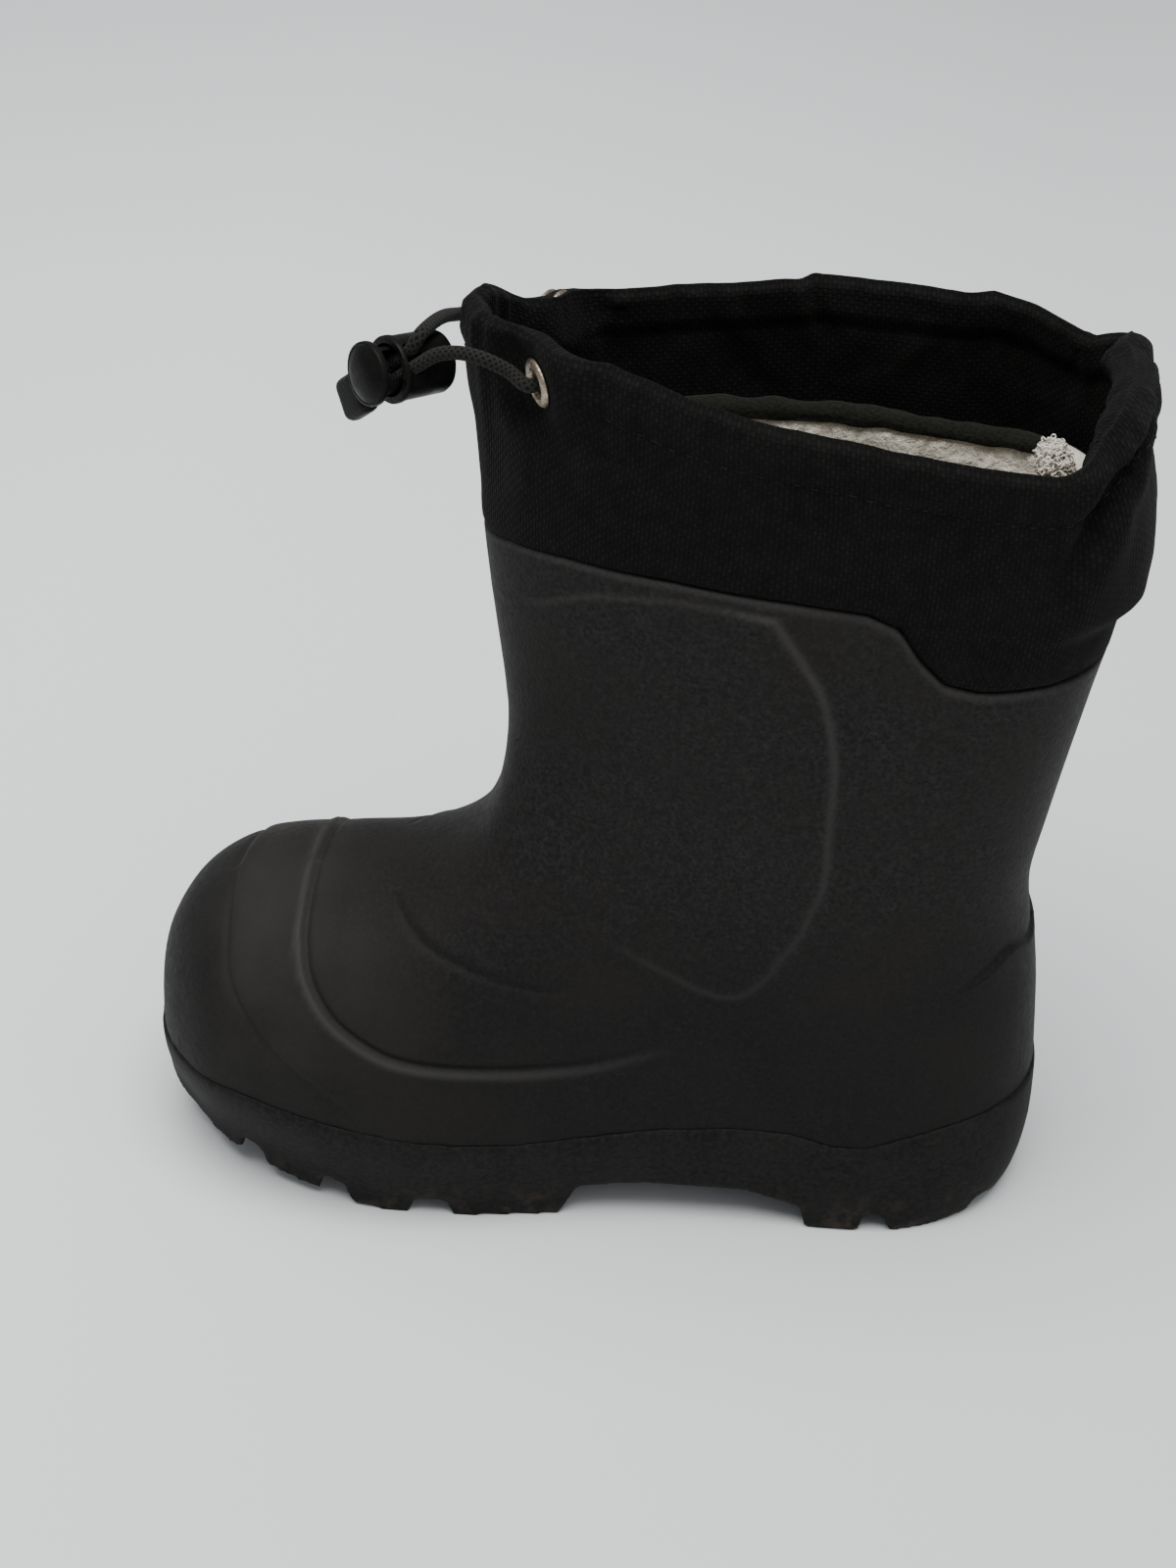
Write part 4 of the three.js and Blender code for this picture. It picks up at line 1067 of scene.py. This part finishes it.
CUFF_SWELL = (-1.5, 3.4)
HEM = 10.0
HEM_HALF = 2.1
RIM_DROP = 0.4
BACK_ROLL = 2.2
# Columns of the cuff's mesh on either side of the boot.
CUFF_COLUMNS = 150


def cuff_inset(along, up):
    start, length = CUFF_SWELL
    return CUFF_TUCKED * (1 - eased((over_collar(along, up) - start) / length))


cuff_turn = all_round(CUFF_COLUMNS)
cuff_low = place_at(COLLAR_LINE, cuff_turn, CUFF_TUCKED, -TUCK)
rims = {side: place_at(line, cuff_turn, 0.0, -RIM_DROP) for side, line in RIM_LINES.items()}
front_blend = eased((np.degrees(cuff_turn) + 6) / 12)
cuff_rim = np.where(np.abs(cuff_turn) < 0.3, rims[-1] * (1 - front_blend) + rims[1] * front_blend,
                    np.where(cuff_turn >= 0, rims[1], rims[-1]))
cuff_shares = np.concatenate([np.linspace(0, 0.72, 40)[:-1], np.linspace(0.72, 1, 26)])
middle_rows = np.array([
    last_points(cuff_low + (cuff_rim - cuff_low) * share, cuff_turn,
                lambda a, u: cuff_inset(a, u) + CUFF_WALL / 2) for share in cuff_shares])
around = np.roll(middle_rows, -1, axis=1) - np.roll(middle_rows, 1, axis=1)
upward = np.gradient(middle_rows, axis=0)
outward = unit(np.cross(upward, around))
outward *= np.sign((outward * (middle_rows - middle_rows.mean(1)[:, None])).sum(2))[..., None]
step_down = np.linalg.norm(np.diff(middle_rows, axis=0), axis=2)
below_rim = np.concatenate([np.cumsum(step_down[::-1], axis=0)[::-1], np.zeros((1, step_down.shape[1]))])
run_around = np.cumsum(np.linalg.norm(around[-1] / 2, axis=1))

# The hem is a soft roll round the cord, closed by a row of stitches. It is thickest at the back,
# where the gathered cloth bunches up and leans in.
rim_ring = middle_rows[-1]
bunched = eased((9 - rim_ring[:, 0]) / 13) * eased((rim_ring[:, 1] + 22) / 14)
plump = HEM_HALF + BACK_ROLL * bunched
roll = np.sqrt(np.clip(1 - (1 - np.clip(below_rim / plump, 0, 1)) ** 2, 0, 1))
roll_end = eased((HEM + 3 * bunched - below_rim) / (4 + 3 * bunched))
half = CUFF_WALL / 2 + (plump - CUFF_WALL / 2) * roll_end * roll
half *= np.where(below_rim < plump, 0.3 + 0.7 * roll, 1)
half -= 0.2 * hump(below_rim - HEM, 0.8)

# Gathers: small puckers under the hem, strongest by the eyelets.
eyelet_spots = {"eyelet_outer": (np.array([105.25, 21.19, 194.29]), Vector((0.4756, -0.8674, -0.1463))),
                "eyelet_inner": (np.array([107.59, -19.2, 190.93]), Vector((-0.4534, -0.8795, -0.1446)))}
pull = np.zeros(below_rim.shape)
for spot, _ in eyelet_spots.values():
    pull = np.maximum(pull, np.exp(-np.linalg.norm(middle_rows - spot, axis=2) / 22))
pucker = (np.sin(run_around / 7.3 * 2 * np.pi) + 0.7 * np.sin(run_around / 4.7 * 2 * np.pi + 1.1)
          + 0.8 * np.sin(run_around / 12.1 * 2 * np.pi + 2.3))
fade = np.exp(-below_rim / 11) * eased(below_rim / 2.5 + 0.3)
sway = pucker * fade * (0.22 + 0.5 * pull)
sway -= 2.1 * BACK_ROLL * bunched * np.exp(-(below_rim / 15) ** 2)
# The cloth bellies out between the collar and the hem, unevenly.
belly = np.clip(over_collar(middle_rows[..., 0], middle_rows[..., 2]), 0, 60)
free = eased(belly / 10)
slack = np.array([[noise_at(Vector((p[0] * 0.035, p[1] * 0.06, p[2] * 0.045))) for p in row]
                  for row in middle_rows])
creased = np.array([[noise_at(Vector((p[0] * 0.11 + p[2] * 0.05, p[1] * 0.12, p[2] * 0.10 - p[0] * 0.04)))
                     for p in row] for row in middle_rows])
sway += free * (1.5 * slack + 0.55 * creased)
# At the heel it hangs out over the collar in a soft fold.
at_heel = eased((14 - middle_rows[..., 0]) / 14) * eased((middle_rows[..., 1] + 30) / 20)
sway += 2.9 * at_heel * eased((middle_rows[..., 2] - 147) / 7) * eased((186 - middle_rows[..., 2]) / 24)
cuff_middle = middle_rows + outward * sway[..., None]

# Creases laid in one by one, as (along, across, up, strength), with a depth and a width each.
CUFF_CREASES = [
    (4.3, 2.5, [(-7.5, 14, 190, 0.3), (-6.3, 21.6, 187.1, 0.9), (-0.3, 29.6, 180.9, 1),
                (4.1, 30.9, 171.5, 0.8), (8, 32, 163, 0.3), (12, 33, 156, 0)]),
    (1.6, 1.8, [(-6, 20, 193, 0.2), (0, 28.5, 188.6, 1), (5, 31, 184, 0.6), (10, 33, 178, 0)]),
    (0.8, 3.0, [(102, 24, 190, 0.4), (92, 28, 184, 1), (78, 31, 178, 0.8), (62, 33, 172, 0)]),
    (0.7, 2.6, [(104, 22, 186, 0.3), (99, 25, 177, 1), (90, 28, 168, 0.4), (84, 30, 163, 0)]),
    (0.6, 3.4, [(112, 12, 196, 0.5), (114, 12, 186, 1), (113, 14, 172, 0.3), (112, 15, 165, 0)]),
    (0.9, 2.2, [(114, -12, 192, 0.6), (113, -14, 182, 0.8), (108, -20, 172, 0)]),
    (1.0, 2.6, [(30, -34, 190, 0.5), (36, -34, 180, 1), (46, -34, 170, 0)]),
    (0.9, 3.0, [(2, -27, 188, 0.6), (0, -28, 178, 1), (4, -30, 165, 0)]),
    (0.8, 2.6, [(75, -33, 190, 0.5), (68, -34, 179, 1), (58, -34, 168, 0)]),
    (1.6, 2.2, [(-8, -6, 193, 0.8), (-8, -8, 182, 1), (-6, -12, 170, 0.2)]),
    (-1.7, 1.6, [(57, -33.5, 196, 1), (56, -33.5, 189, 0.9), (53, -33, 180, 0)]),
    (-1.5, 1.7, [(22, -32, 194, 0.9), (21, -32, 187, 1), (24, -32, 178, 0)]),
    (-1.3, 1.5, [(101, -24, 194, 1), (100, -25, 186, 0.8), (96, -27, 177, 0)]),
    (-1.2, 2.4, [(4, -24, 189, 1), (6, -25, 181, 0.9), (12, -28, 172, 0)]),
]
flat_middle = cuff_middle.reshape(-1, 3)
flat_outward = outward.reshape(-1, 3)
sunk = np.zeros(len(flat_middle))
for depth, width, controls in CUFF_CREASES:
    path = np.array([tuple(p) for p in curve_points([Vector(c) for c in np.array(controls)[:, :3]], 14)])
    strength = np.interp(np.linspace(0, 1, len(path)), np.linspace(0, 1, len(controls)),
                         np.array(controls)[:, 3])
    distance, share = distance_to(middle_rows.reshape(-1, 3), flat_outward, (path, strength), 1)
    sunk += share * (0.45 * depth * hump(distance - 1.9 * width, 1.5 * width) - depth * hump(distance, width))
cuff_middle = (flat_middle + flat_outward * sunk[:, None]).reshape(cuff_middle.shape)

outer_face = cuff_middle + outward * half[..., None]
inner_face = cuff_middle - outward * half[..., None]
ridge = rolled_over(outer_face[-1], inner_face[-1], 6, half[-1].mean())
cuff_rows = np.concatenate([outer_face, ridge, inner_face[::-1]])
# The cloth lies flat round each eyelet, and is drawn through it to the back.
EYELET_SEAT, SEAT_FADE, SEAT_REACH = 4.9, 8, 9
CLOTH_BEHIND = -2.7
for spot, way in eyelet_spots.values():
    axis = np.array([-way.y, way.x, way.z])
    centre = spot - axis * CUFF_WALL / 2
    offset = cuff_rows - centre
    height = offset @ axis
    radius = np.linalg.norm(offset - height[..., None] * axis, axis=2)
    is_outer = np.zeros(cuff_rows.shape[:2], bool)
    is_outer[:len(outer_face) + 3] = True
    target = np.where(is_outer, CUFF_WALL / 2, CLOTH_BEHIND)
    hold = (1 - eased((radius - EYELET_SEAT) / SEAT_FADE)) * (np.abs(height) < SEAT_REACH)
    cuff_rows = cuff_rows + ((target - height) * hold)[..., None] * axis
count = len(cuff_turn)
rows = len(cuff_rows)
cuff = mesh_piece("cuff_cloth_gathered", in_frame(cuff_rows).reshape(-1, 3), tube_faces(rows, count))
height_up = np.concatenate([-below_rim, np.zeros((len(ridge), count)), -below_rim[::-1]])
corner = corners_of(cuff)
faces_u = np.tile(run_around, rows)[corner].reshape(-1, 4)
wraps = (faces_u.max(1) - faces_u.min(1)) > 50
faces_u[wraps] = np.where(faces_u[wraps] < 50, faces_u[wraps] + run_around[-1], faces_u[wraps])
give_uv(cuff, faces_u.ravel(), height_up.ravel()[corner])
merged(cuff, None)
PUNCH_RADIUS, PUNCH_LENGTH, PUNCH_DEEP = 3.0, 9, 2.2
for spot, way in eyelet_spots.values():
    bpy.ops.mesh.primitive_cylinder_add(vertices=32, radius=PUNCH_RADIUS * mm, depth=PUNCH_LENGTH * mm)
    punch = bpy.context.object
    place = in_frame(spot) + np.array(way) * (PUNCH_LENGTH / 2 - PUNCH_DEEP) * mm
    punch.matrix_world = Matrix.Translation(place) @ way.to_track_quat("Z", "Y").to_matrix().to_4x4()
    cut_by(cuff, punch)

cloth = new_material("oxford_cloth", 0.9, specular=0.04, sheen=0.02)
cloth_map = add_node(cloth, "UVMap", uv_map="cut").outputs[0]
cloth_place = on_piece(cloth)
THREAD = 0.9
wander = noise(cloth, cloth_place, 300, detail=2)
cloth_axes = add_node(cloth, "SeparateXYZ", {"Vector": cloth_map}).outputs
warp, weft = (maths(cloth, "SINE", product(
    cloth, maths(cloth, "ADD", cloth_axes[axis], product(cloth, wander, sway_share)), math.pi / THREAD))
    for axis, sway_share in (("X", 0.5), ("Y", 0.7)))
over = ranged(cloth, product(cloth, warp, weft), -0.55, 0.55)
under = product(cloth, maths(cloth, "ABSOLUTE", weft), 0.5, maths(cloth, "SUBTRACT", 1.0, over))
weave = maths(cloth, "ADD", product(cloth, maths(cloth, "ABSOLUTE", warp), over), under)
slub = noise(cloth, cloth_place, 420, detail=3, low=0.3, high=0.7)
fade_cloud = noise(cloth, cloth_place, 55, detail=3, low=0.35, high=0.7)
thread_tone = product(cloth, weave, maths(cloth, "ADD", product(cloth, slub, 0.7), 0.3))
cloth_colour = blended(cloth, thread_tone, (0.0030, 0.0029, 0.0028), (0.0114, 0.0108, 0.0103))
cloth_colour = blended(cloth, product(cloth, fade_cloud, 0.12), cloth_colour, (0.014, 0.0134, 0.0126))
dressed(cloth, cloth_colour, height=maths(cloth, "ADD", weave, product(cloth, slub, 0.4)), distance=0.2)
cuff.data.materials.clear()
cuff.data.materials.append(cloth)
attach(cuff, "boot")
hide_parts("cuff")

# The hem's stitches, sunk a little into the cloth: one small bar of thread, copied round.
STITCH_LENGTH, STITCH_ACROSS, STITCH_STEP = 1.9, 0.42, 3.4
STITCH_RINGS, STITCH_SIDES = 5, 6
hem_row = np.argmin(np.abs(below_rim - HEM), axis=0)
hem_points = outer_face[hem_row, np.arange(count)]
hem_ways = outward[hem_row, np.arange(count)]
hem_run = run_of(hem_points)
stitch_points, stitch_faces = [], []
for reach in np.arange(0, hem_run[-1], STITCH_STEP):
    middle_at = read_at(reach, hem_run, hem_points)
    facing = read_at(reach, hem_run, hem_ways)
    ahead = read_at(reach + 1.0, hem_run, hem_points) - middle_at
    if np.linalg.norm(ahead) < 0.2:
        continue
    ahead = unit(ahead)
    beside = np.cross(facing, ahead)
    stitch_faces += rod_faces(STITCH_RINGS, STITCH_SIDES, len(stitch_points))
    for share in np.linspace(-0.5, 0.5, STITCH_RINGS):
        thick = STITCH_ACROSS / 2 * (1 - (2 * share) ** 4 * 0.6)
        lift = 0.2 * (1 - (2 * share) ** 2) - 0.2
        for k in range(STITCH_SIDES):
            turn = k * 2 * math.pi / STITCH_SIDES
            round_it = facing * (lift + thick * math.sin(turn)) + beside * thick * math.cos(turn)
            stitch_points.append(middle_at + ahead * share * STITCH_LENGTH + round_it)
stitches = mesh_piece("hem_stitches", in_frame(np.array(stitch_points)), stitch_faces)
merged(stitches, 0.001)
thread = new_material("black_thread", 0.7, specular=0.1, sheen=0.05)
thread_place = on_piece(thread)
ply = noise(thread, thread_place, 2600, detail=1, low=0.35, high=0.65)
thread_colour = blended(thread, ply, (0.003, 0.003, 0.003), (0.013, 0.0125, 0.012))
dressed(thread, thread_colour, height=ply, distance=0.08)
stitches.data.materials.append(thread)
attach(stitches, "boot")

# ---- Eyelets.
# Pressed nickel-brass rings, one at each front corner of the cuff, each set through the cloth
# with a rounded face on both sides. They are worn and dull.
EYELET_PROFILE = [(2.55, 0.0), (2.58, 1.1), (2.75, 1.75), (3.2, 2.05), (3.9, 2.1), (4.5, 1.85), (4.8, 1.4),
                  (4.7, 1.15), (4.1, 1.05), (3.4, 1.0), (3.15, 0.8)]


def spun(name, profile, centre, axis, steps=48, closed=False):
    """A profile of (radius, height) in millimetres, spun round the axis at a place."""
    mesh = bpy.data.meshes.new(name)
    edges = [(i, i + 1) for i in range(len(profile) - 1)]
    if closed:
        edges.append((len(profile) - 1, 0))
    mesh.from_pydata([(r * mm, 0, h * mm) for r, h in profile], edges, [])
    made = bpy.data.objects.new(name, mesh)
    bpy.context.scene.collection.objects.link(made)
    bpy.context.view_layer.objects.active = made
    made.select_set(True)
    bpy.ops.object.mode_set(mode="EDIT")
    bpy.ops.mesh.select_all(action="SELECT")
    bpy.ops.mesh.spin(steps=steps, angle=2 * math.pi, center=(0, 0, 0), axis=(0, 0, 1))
    bpy.ops.object.mode_set(mode="OBJECT")
    merged(made, 0.004)
    turn = Vector(axis).to_track_quat("Z", "Y").to_matrix().to_4x4()
    made.data.transform(Matrix.Translation(centre) @ turn)
    smoothed(made)
    return made


brass = new_material("worn_eyelet_metal", 0.38, metallic=1.0)
brass_place = on_piece(brass)
tarnish = noise(brass, brass_place, 420, detail=5, low=0.35, high=0.68, roughness=0.65)
pits = noise(brass, brass_place, 1800, detail=2, low=0.4, high=0.7)
brass_colour = blended(brass, tarnish, (0.42, 0.36, 0.27), (0.13, 0.10, 0.075))
dressed(brass, brass_colour, ranged(brass, tarnish, to=(0.28, 0.62)), pits, distance=0.05)
ring_whole = EYELET_PROFILE + [(r, -h) for r, h in reversed(EYELET_PROFILE[1:])]
for name, (spot, way) in eyelet_spots.items():
    centre = Vector(in_frame(spot)) - way * CUFF_WALL / 2 * mm
    ring = spun(name + "_ring", ring_whole, centre, way, closed=True)
    ring.data.materials.append(brass)
    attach(ring, "boot")
    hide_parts(name)

# ---- Cord lock.
# A barrel of hard black plastic with a slot through it for both strands, and a sprung button
# whose slotted stem grips them. Pressing the button home lines up the two slots.
LOCK_CENTRE = at(131.9, 12.6, 192.6)
LOCK_AXIS = Vector((0.695, -0.711, 0.104)).normalized()
LOCK_RADIUS = 6.2
LOCK_BACK, LOCK_FRONT = 8.6, 4.0
LOCK_BORE, LOCK_STEM = 4.9, 4.5
SLOT_AT, SLOT_ALONG, SLOT_ACROSS = 1.5, 3.6, 6.2
BUTTON_TRAVEL = 3.2
entry = Vector((0.532, 0.606, 0.591))
LOCK_ENTRY = (entry - LOCK_AXIS * entry.dot(LOCK_AXIS)).normalized()
lock_frame = Matrix.Translation(LOCK_CENTRE) @ Matrix(
    (LOCK_AXIS.cross(LOCK_ENTRY), LOCK_AXIS, LOCK_ENTRY)).transposed().to_4x4()


def rounded_block(name, size, place, bevel, segments=4):
    """A block in the lock's own frame, with its edges rounded."""
    bpy.ops.mesh.primitive_cube_add(size=1)
    made = bpy.context.object
    made.name = name
    bpy.ops.object.mode_set(mode="EDIT")
    bpy.ops.transform.resize(value=[n * mm for n in size])
    bpy.ops.mesh.bevel(offset=bevel * mm, segments=segments, affect="EDGES")
    bpy.ops.object.mode_set(mode="OBJECT")
    made.data.transform(lock_frame @ Matrix.Translation(Vector(place) * mm))
    smoothed(made)
    made.select_set(False)
    return made


plastic = new_material("moulded_plastic", 0.42, specular=0.08)
plastic_place = on_piece(plastic)
haze = noise(plastic, plastic_place, 260, detail=4, low=0.35, high=0.7)
tool_grain = noise(plastic, plastic_place, 2200, detail=1, low=0.35, high=0.65)
plastic_colour = blended(plastic, haze, (0.0024, 0.0024, 0.0022), (0.0056, 0.0053, 0.0047))
dressed(plastic, plastic_colour, ranged(plastic, haze, to=(0.34, 0.52)), tool_grain, distance=0.03)

back, front = -LOCK_BACK, LOCK_FRONT
r = LOCK_RADIUS
bore_end = back + 1.6
barrel_profile = [(0, back), (r - 2.4, back), (r - 1.3, back + 0.25), (r - 0.5, back + 0.85),
                  (r - 0.1, back + 1.7), (r, front - 2.6), (r, front - 1.6), (r + 0.2, front - 1.45),
                  (r + 0.27, front - 1.2), (r + 0.27, front - 0.3), (r + 0.1, front),
                  (LOCK_BORE + 0.2, front), (LOCK_BORE, front - 0.25), (LOCK_BORE, bore_end), (0, bore_end)]
barrel = spun("lock_barrel_moulded", barrel_profile, LOCK_CENTRE, LOCK_AXIS, 64)
cut_by(barrel, rounded_block("slot", (SLOT_ACROSS, SLOT_ALONG, 4 * r), (0, SLOT_AT, 0), 1.2))
stem_end = bore_end + BUTTON_TRAVEL + 0.6
cap = front + BUTTON_TRAVEL + GAP
CAP_PROFILE = [(0.4, 0), (0.15, 0.12), (0.08, 0.35), (0.08, 1.15), (0.2, 1.45), (0.55, 1.62), (0.8, 1.55),
               (1.1, 1.7), (2.0, 2.25), (3.4, 2.7), (4.8, 2.86), (r, 2.9)]
button_profile = [(0, stem_end), (LOCK_STEM, stem_end), (LOCK_STEM, cap),
                  *[(r - inwards, cap + rise) for inwards, rise in CAP_PROFILE]]
button = spun("lock_button_moulded", button_profile, LOCK_CENTRE, LOCK_AXIS, 64)
cut_by(button, rounded_block("slot", (SLOT_ACROSS, SLOT_ALONG + BUTTON_TRAVEL, 4 * r),
                             (0, SLOT_AT + BUTTON_TRAVEL / 2, 0), 0.8))
for piece, body, node in ((barrel, "boot", "lock_barrel"), (button, "button", "lock_button")):
    bpy.context.view_layer.objects.active = piece
    piece.select_set(True)
    bpy.ops.object.shade_smooth_by_angle(angle=math.radians(35))
    piece.select_set(False)
    piece.data.materials.clear()
    piece.data.materials.append(plastic)
    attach(piece, body)
    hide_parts(node)

# ---- Cord end.
# A small tab of the same hard plastic as the lock, with rounded edges. It is moulded over the
# ends of both strands and holds them together below the lock.
TAB_SIZE = (8.7, 4.4, 9.0)
TAB_AWAY = 16.5
tab = rounded_block("cord_end_tab", TAB_SIZE, (0, SLOT_AT, -TAB_AWAY), 1.9, 5)
tab.data.materials.append(plastic)
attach(tab, "boot")
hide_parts("cord_end")
for name, cord in cords.items():
    path = cord_paths[name]

# ---- Floor and lights.
# Plain pale paper, with painted light in its colour: lighter towards the toe and the inner side. A large soft
# light hangs above, with weak ones at the toe and the heel.
bpy.ops.mesh.primitive_plane_add(size=6, location=(0, 0, 0))
floor = bpy.context.object
floor.name = "floor"
floor_paint = new_material("floor_paper", 0.85, specular=0.2)
floor_axes = add_node(floor_paint, "SeparateXYZ", {"Vector": on_piece(floor_paint)}).outputs
# Painted light: the paper's colour brightens towards the inner side and the toe.
inner_painted_light = ranged(floor_paint, floor_axes["X"], 0.12, -0.5, to=(0.0, 0.5))
toe_painted_light = ranged(floor_paint, floor_axes["Y"], 0.14, -0.2, to=(0.0, 0.5))
paper = blended(floor_paint, maths(floor_paint, "ADD", inner_painted_light, toe_painted_light),
                (0.665, 0.68, 0.68), (0.95, 0.965, 0.965))
dressed(floor_paint, paper)
floor.data.materials.append(floor_paint)
world = bpy.data.worlds.new("room")
bpy.context.scene.world = world
world.use_nodes = True
world.node_tree.nodes["Background"].inputs["Color"].default_value = (0.93, 0.96, 1.0, 1)
world.node_tree.nodes["Background"].inputs["Strength"].default_value = 0.44


def soft_light(name, place, aim, size, power, colour=(1, 1, 1)):
    lamp = bpy.data.lights.new(name, "AREA")
    lamp.shape = "DISK"
    lamp.size = size
    lamp.energy = power
    lamp.color = colour
    made = bpy.data.objects.new(name, lamp)
    bpy.context.scene.collection.objects.link(made)
    way = (Vector(aim) - Vector(place)).normalized()
    made.matrix_world = Matrix.Translation(place) @ way.to_track_quat("-Z", "Y").to_matrix().to_4x4()


soft_light("overhead", (0.25, 0.0, 1.35), (0, 0, 0.1), 1.2, 28.5)
soft_light("toe_side", (-0.35, -1.0, 0.7), (0, 0, 0.1), 0.7, 0.3)
soft_light("heel_side", (0.5, 0.9, 0.6), (0, 0, 0.1), 0.6, 1.5)
